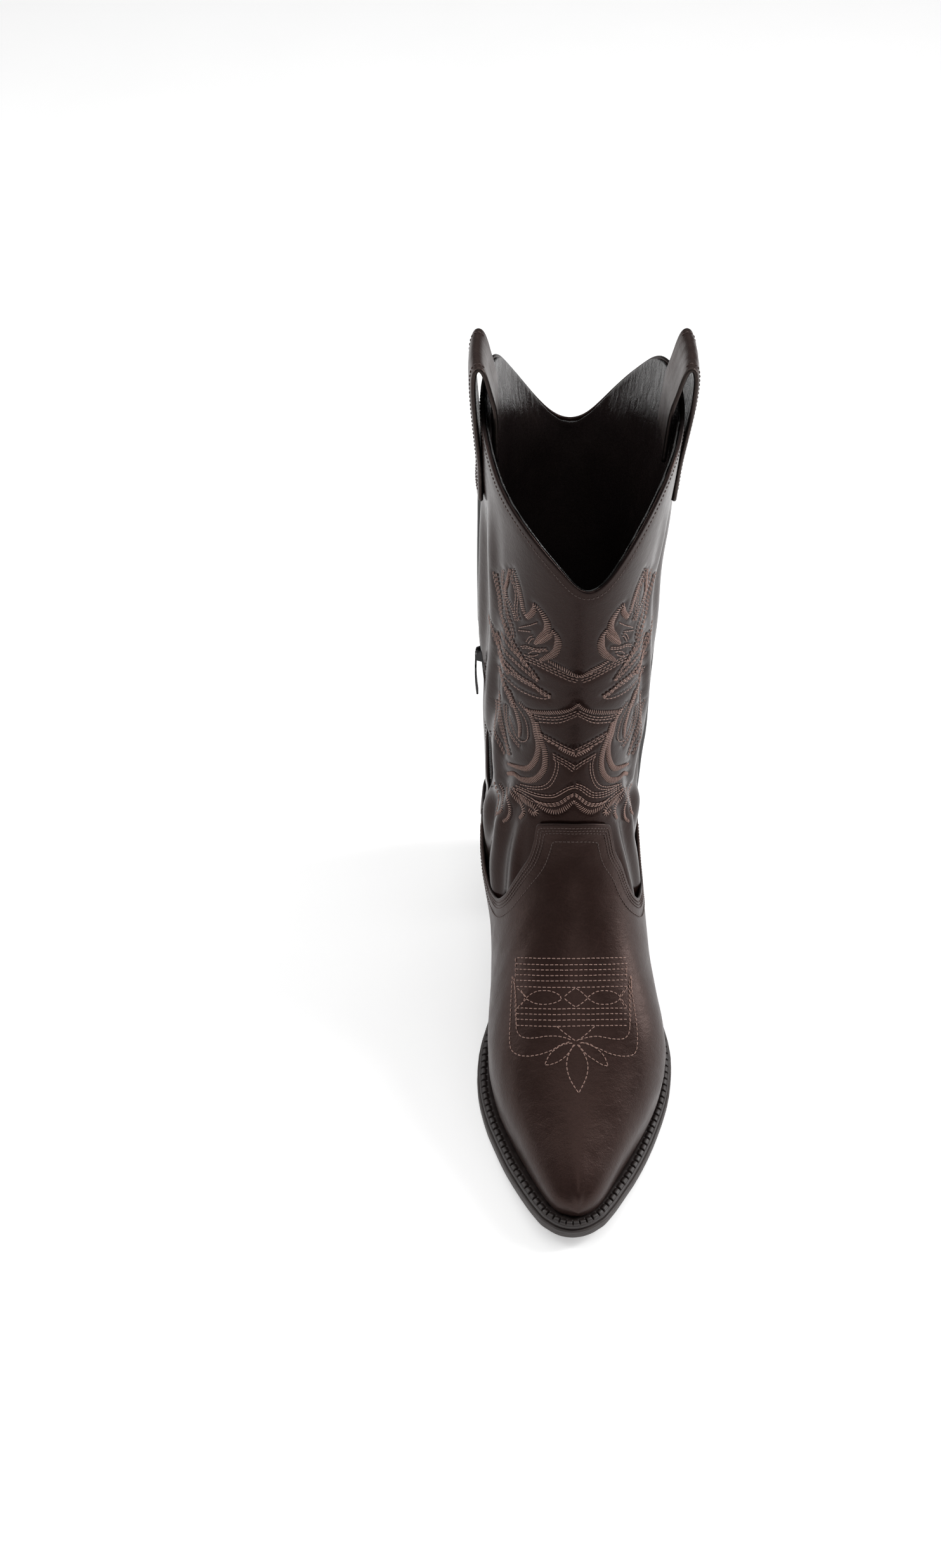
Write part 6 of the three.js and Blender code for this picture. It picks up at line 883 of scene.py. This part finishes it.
zf = lambda f: np.interp(f, fz[:, 0], fz[:, 1])
drop = lambda f: 8.2 + 3.0 * step(80, 150, f)
sole_bottom = lambda f: np.maximum(0, zf(f) - drop(f))


def outline(rows, n):
    """closed loop round the sole, dense and even: up the inner side from the heel, round the toe, back down the outer side"""
    p = np.vstack([np.stack([rows[::-1, 1], rows[::-1, 0]], -1), np.stack([rows[:, 2], rows[:, 0]], -1)])
    closed = np.vstack([p, p[:1]]); d = np.r_[0, np.cumsum(np.linalg.norm(np.diff(closed, axis=0), axis=1))]
    u = np.linspace(0, d[-1], n, endpoint=False); q = np.stack([np.interp(u, d, closed[:, j]) for j in (0, 1)], -1)
    for _ in range(10): q = (np.roll(q, 1, 0) + 2 * q + np.roll(q, -1, 0)) / 4
    t = np.roll(q, -1, 0) - np.roll(q, 1, 0); t /= np.linalg.norm(t, axis=1, keepdims=True); out = np.stack([-t[:, 1], t[:, 0]], -1)
    if ((q - q.mean(0)) * out).sum() < 0: out = -out
    return q, out


def rings_to_mesh(name, rings, mat, **kw):
    """rings: closed loops of the same length from the top's centre outwards, down the side and in to the bottom's centre"""
    n = len(rings[0]); V = np.concatenate(rings); Q = []
    for k in range(len(rings) - 1):
        a = k * n + np.arange(n); b = a + n; Q.append(np.stack([a, np.roll(a, -1), np.roll(b, -1), b], -1))
    V = np.vstack([V, rings[0].mean(0), rings[-1].mean(0)]); c0, c1 = len(V) - 2, len(V) - 1; a = np.arange(n); e = (len(rings) - 1) * n + a
    T = np.vstack([np.stack([np.full(n, c0), np.roll(a, -1), a], -1), np.stack([np.full(n, c1), e, np.roll(e, -1)], -1)])
    return mesh(name, W(V), np.concatenate(Q), mat, tris=T, **kw)


NL = 900
q, out = outline(SOLE, NL)
L = np.r_[0, np.cumsum(np.linalg.norm(np.diff(q, axis=0), axis=1))]
centre_x = lambda f: np.interp(f, SOLE[::-1, 0], (SOLE[::-1, 1] + SOLE[::-1, 2]) / 2)
f_c = lambda f: np.clip(f, 26, 250)


def ring(inset, zfun, k=None):
    p = q - out * np.asarray(inset).reshape(-1, 1) if k is None else q + (np.stack([centre_x(f_c(q[:, 1])), f_c(q[:, 1])], -1) - q) * k
    return np.stack([p[:, 0], p[:, 1], zfun(p[:, 1])], -1)


top_o = lambda f: zf(f) - np.where(f < 76.2, 2.1, 5.4)
rs = []
for k in (0.97, 0.8, 0.6, 0.4, 0.22): rs.append(ring(0, lambda f: top_o(f), k))
rs.append(ring(1.3, lambda f: top_o(f)))
for i, th in enumerate(np.linspace(0, math.pi / 2, 5)): rs.append(ring(0.8 * (1 - math.sin(th)), lambda f, th=th: top_o(f) - 0.8 * (1 - math.cos(th))))
zmid = lambda f, t: (top_o(f) - 0.8) * (1 - t) + (sole_bottom(f) + 0.9) * t
for t in np.linspace(0.12, 0.88, 9): rs.append(ring(0.05 * math.sin(37 * t) + 0.06 * np.sin(L * 0.9 + 11 * t) * np.sin(L * 0.23), lambda f, t=t: zmid(f, t)))
for th in np.linspace(0, math.pi / 2, 5): rs.append(ring(0.9 * (1 - math.cos(th)), lambda f, th=th: sole_bottom(f) + 0.9 * (1 - math.sin(th))))
rs.append(ring(3.0, lambda f: sole_bottom(f)))
for k in (0.25, 0.45, 0.65, 0.85, 0.97): rs.append(ring(0, lambda f: sole_bottom(f), k))
rings_to_mesh("outsole_rubber", rs, m_sole, hides=["outsole"], slot="sole_rubber", angle=60)

# welt: strip with a row of moulded stitches on top, from the heel breast round the toe
sel = np.where(q[:, 1] > 77.5)[0]; start = np.where(np.diff(sel) > 1)[0]
order = sel if not len(start) else np.concatenate([sel[start[0] + 1:], sel[:start[0] + 1]])
wq0, wo0 = q[order], out[order]
d = np.r_[0, np.cumsum(np.linalg.norm(np.diff(wq0, axis=0), axis=1))]; nw = 2600; u = np.linspace(0, d[-1], nw)
wq = np.stack([np.interp(u, d, wq0[:, j]) for j in (0, 1)], -1); wo = np.stack([np.interp(u, d, wo0[:, j]) for j in (0, 1)], -1)
per = 4.1; x = (u % per) / per; block = step(0.0, 0.13, x) * (1 - step(0.80, 0.97, x)); round_ = np.sin(np.pi * np.clip((x - 0.02) / 0.95, 0, 1)) ** 0.5
prof = [(8.5, -2.9, 0, 0), (6.4, -2.35, 0, 0), (5.6, -2.1, 0, 0), (5.1, -2.2, 0, 0), (4.75, -1.9, .35, 0), (4.3, -1.35, .85, .1), (3.6, -1.15, 1, .1), (2.9, -1.3, .95, .05), (2.45, -1.75, .5, 0), (2.15, -2.15, .1, 0), (1.75, -2.1, 0, 0), (1.35, -2.25, 0, 0), (1.15, -2.7, 0, 0), (1.15, -3.6, 0, 0), (1.2, -4.6, 0, 0), (1.4, -5.1, 0, 0), (5.5, -5.15, 0, 0), (8.5, -5.15, 0, 0)]
V = []
for ins, dz, amt, wob in prof:
    dig = amt * (1 - block) * 1.5
    p = wq - wo * (ins + wob * np.sin(u * 1.7))[:, None]; z = zf(p[:, 1]) + dz + 0.25 * amt * (round_ - 0.6) - dig + 0.05 * np.sin(u * 0.61 + ins)
    V.append(np.stack([p[:, 0], p[:, 1], z], -1))
V = np.array(V); K = len(prof); ids = np.arange(K * nw).reshape(K, nw); Q = []
for k in range(K):
    a, b = ids[k], ids[(k + 1) % K]; Q.append(np.stack([a[:-1], a[1:], b[1:], b[:-1]], -1))
VV = np.vstack([V.reshape(-1, 3), V[:, 0].mean(0), V[:, -1].mean(0)]); c0 = K * nw; k = np.arange(K)
T = np.vstack([np.stack([np.full(K, c0), ids[k, 0], ids[(k + 1) % K, 0]], -1), np.stack([np.full(K, c0 + 1), ids[(k + 1) % K, -1], ids[k, -1]], -1)])
mesh("welt_strip", W(VV), np.concatenate(Q), m_welt, tris=T, hides=["welt"], slot="welt_rubber", angle=70)

# heel block: layers, then the top piece
rows = SOLE[SOLE[:, 0] <= 62.5].copy(); ins = rows.copy(); ins[:, 1] += 0.8; ins[:, 2] -= 0.8; ins[-1, 0] += 0.6
hq0 = np.vstack([np.stack([ins[::-1, 1], ins[::-1, 0]], -1), np.stack([ins[:, 2], ins[:, 0]], -1)]); hq0 = np.vstack([hq0, hq0[:1]])
hd = np.r_[0, np.cumsum(np.linalg.norm(np.diff(hq0, axis=0), axis=1))]; nh = 420; hu = np.linspace(0, hd[-1], nh, endpoint=False)
hq = np.stack([np.interp(hu, hd, hq0[:, j]) for j in (0, 1)], -1)
for _ in range(3): hq = (np.roll(hq, 1, 0) + 2 * hq + np.roll(hq, -1, 0)) / 4
htop = lambda f: zf(f) - 8.5


def hlevel(k, z, ins=0.0):
    f0 = hq[:, 1]; bf = 10.5 + (f0 - 3.1) * 46 / 58.9; f = f0 + (bf - f0) * k ** 0.85; sc = 1 - 0.17 * k ** 0.8; x = -3.6 + (hq[:, 0] + 3.6) * sc
    p = np.stack([x, f], -1); c = np.array([-3.6, 34.0]); dirs = c - p; dirs /= np.linalg.norm(dirs, axis=1, keepdims=True); p = p + dirs * ins
    return np.stack([p[:, 0], p[:, 1], z if not callable(z) else z(f0)], -1)


rs = [hlevel(0, htop, i) for i in (18, 12, 6, 1.0)]
lay = 9
for i in range(lay):
    for t, dig in ((0.02, 0.34), (0.12, 0.05), (0.5, 0.0), (0.88, 0.05), (0.98, 0.34)):
        w = (i + t) / lay; rs.append(hlevel(0.9 * w, lambda f, w=w: htop(f) + (6.3 - htop(f)) * w, dig + 0.04 * math.sin(i * 2.3)))
rs += [hlevel(0.9, lambda f: 6.3 + 0 * f, i) for i in (1.0, 6, 12, 17)]
rings_to_mesh("heel_block", rs, m_heel, hides=["heel_stack"], slot="heel_block", angle=75)
rs = [hlevel(0.91, lambda f: 6.0 + 0 * f, i) for i in (16, 8, 1.2)] + [hlevel(0.91 + 0.09 * t, lambda f, t=t: 6 * (1 - t) + 0 * f, i) for t, i in ((0.0, 0.35), (0.05, 0.08), (0.5, 0.0), (0.93, 0.06), (0.985, 0.3), (1, 0.8))] + [hlevel(1, lambda f: 0 * f, i) for i in (4, 9, 14)]
rings_to_mesh("heel_top_piece", rs, m_cap, hides=["heel_cap"], slot="sole_rubber", angle=75)

# sock liner: a thin pad, a little cupped
fe = []
for s_ in [0.9, 1.25, 1.7, 2.2, 3, 4, 5, 6, 6.5, 7, 7.5, 8, 8.5, 9, 9.5, 10, 10.5, 11, 11.4, 11.8, 12.1, 12.4, 12.65, 12.82, 12.93, 12.985]:
    a_, b_ = P(s_, -2.0), P(s_, 2.0); fe.append([a_[1], a_[0], b_[0]])
fe = np.array(fe); k = np.linspace(0, 1, 90); fr = np.interp(k, np.linspace(0, 1, len(fe)), fe[:, 0]); L_, R_ = np.interp(fr, fe[::-1, 0], fe[::-1, 1]), np.interp(fr, fe[::-1, 0], fe[::-1, 2])
wd = np.linspace(-1, 1, 25); fr2 = np.clip(fr, fr.min() + 3.3, fr.max() - 3.3)
mid, half = (L_ + R_) / 2, np.maximum((R_ - L_) / 2 - 3.3, 0.6)
X2 = mid[:, None] + half[:, None] * wd[None]; F2 = fr2[:, None] + 0 * X2; Z2 = zf(F2)
cup = 0.5 * wd[None] ** 4
sheet("sock_liner_pad", np.stack([X2, F2, Z2 + 1.6 + cup], -1), np.stack([X2, F2, Z2 + 0.75 + 0 * cup], -1), m_lining, hides=["sock_liner"], slot="black_leather")

# ------------------------------------------------------------------ carried-over frame parts: finish and softened edges
FIN = {"toe_puff": m_fibre, "heel_stiffener": m_fibre, "insole_board": m_board, "shank": m_steel, "forepart_filler": m_cork, "heel_nail_1": m_steel, "heel_nail_2": m_steel, "heel_nail_3": m_steel, "heel_nail_4": m_steel,
       "zip_top_stop_front": m_metal, "zip_top_stop_back": m_metal, "zip_bottom_stop": m_metal, "zip_slider": m_metal, "zip_pull": m_metal}
for nm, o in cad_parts.items():
    if nm in FIN:
        o.data.materials.clear(); o.data.materials.append(FIN[nm])
    if nm.startswith("zip_") and nm in FIN:
        bv = o.modifiers.new("soft edges", "BEVEL"); bv.width = 0.00022; bv.segments = 3; bv.limit_method = "ANGLE"; bv.angle_limit = math.radians(28)
        o.modifiers.new("even shading", "WEIGHTED_NORMAL")

# ------------------------------------------------------------------ floor, light, camera
fm, ft, fb, fco = nt("pale floor"); fb.inputs["Roughness"].default_value = 0.9
ft.links.new(ramp(ft, noise(ft, fco, 9, 4), [(0.3, (0.86, 0.86, 0.86)), (0.7, (0.88, 0.88, 0.88))]), fb.inputs["Base Color"])
fb.inputs["Emission Color"].default_value = (1, 1, 1, 1); fb.inputs["Emission Strength"].default_value = 0.34
bpy.ops.mesh.primitive_plane_add(size=14, location=(0, 0, -0.0006)); floor = bpy.context.object; floor.name = "floor"; floor.data.materials.append(fm)

wd_ = bpy.data.worlds.new("studio"); SC.world = wd_; wd_.use_nodes = True; bg = wd_.node_tree.nodes["Background"]; bg.inputs[0].default_value = (1, 1, 1, 1); bg.inputs[1].default_value = 0.20


def area(name, loc, target, size, power, colour=(1, 1, 1)):
    d = bpy.data.lights.new(name, "AREA"); d.shape = "RECTANGLE"; d.size, d.size_y = size; d.energy = power; d.color = colour
    o = bpy.data.objects.new(name, d); SC.collection.objects.link(o); o.location = loc; o.rotation_euler = (Vector(target) - Vector(loc)).to_track_quat("-Z", "Y").to_euler()


area("key right", (1.05, 0.16, 0.70), (0, 0, 0.18), (0.22, 1.1), 13)
area("left strip", (-1.05, 0.20, 0.72), (0, 0, 0.18), (0.13, 1.2), 6)
area("toe glow", (0.10, -1.0, 1.15), (0, -0.08, 0.08), (0.30, 0.6), 1.5)
area("top", (0.0, 0.4, 2.6), (0, 0, 0.1), (3.0, 3.0), 34)

cam = bpy.data.objects.new("camera", bpy.data.cameras.new("camera")); SC.collection.objects.link(cam); SC.camera = cam
cam.location = (-0.05206, -0.68330, 0.88864); cam.rotation_euler = (math.radians(90 - 46.055), 0, 0)
cam.data.sensor_fit = "AUTO"; cam.data.sensor_width = 36; cam.data.lens = 3229.9 / 2474 * 36; cam.data.clip_start = 0.05; cam.data.clip_end = 30
SC.view_settings.view_transform = "Standard"; SC.view_settings.look = "None"
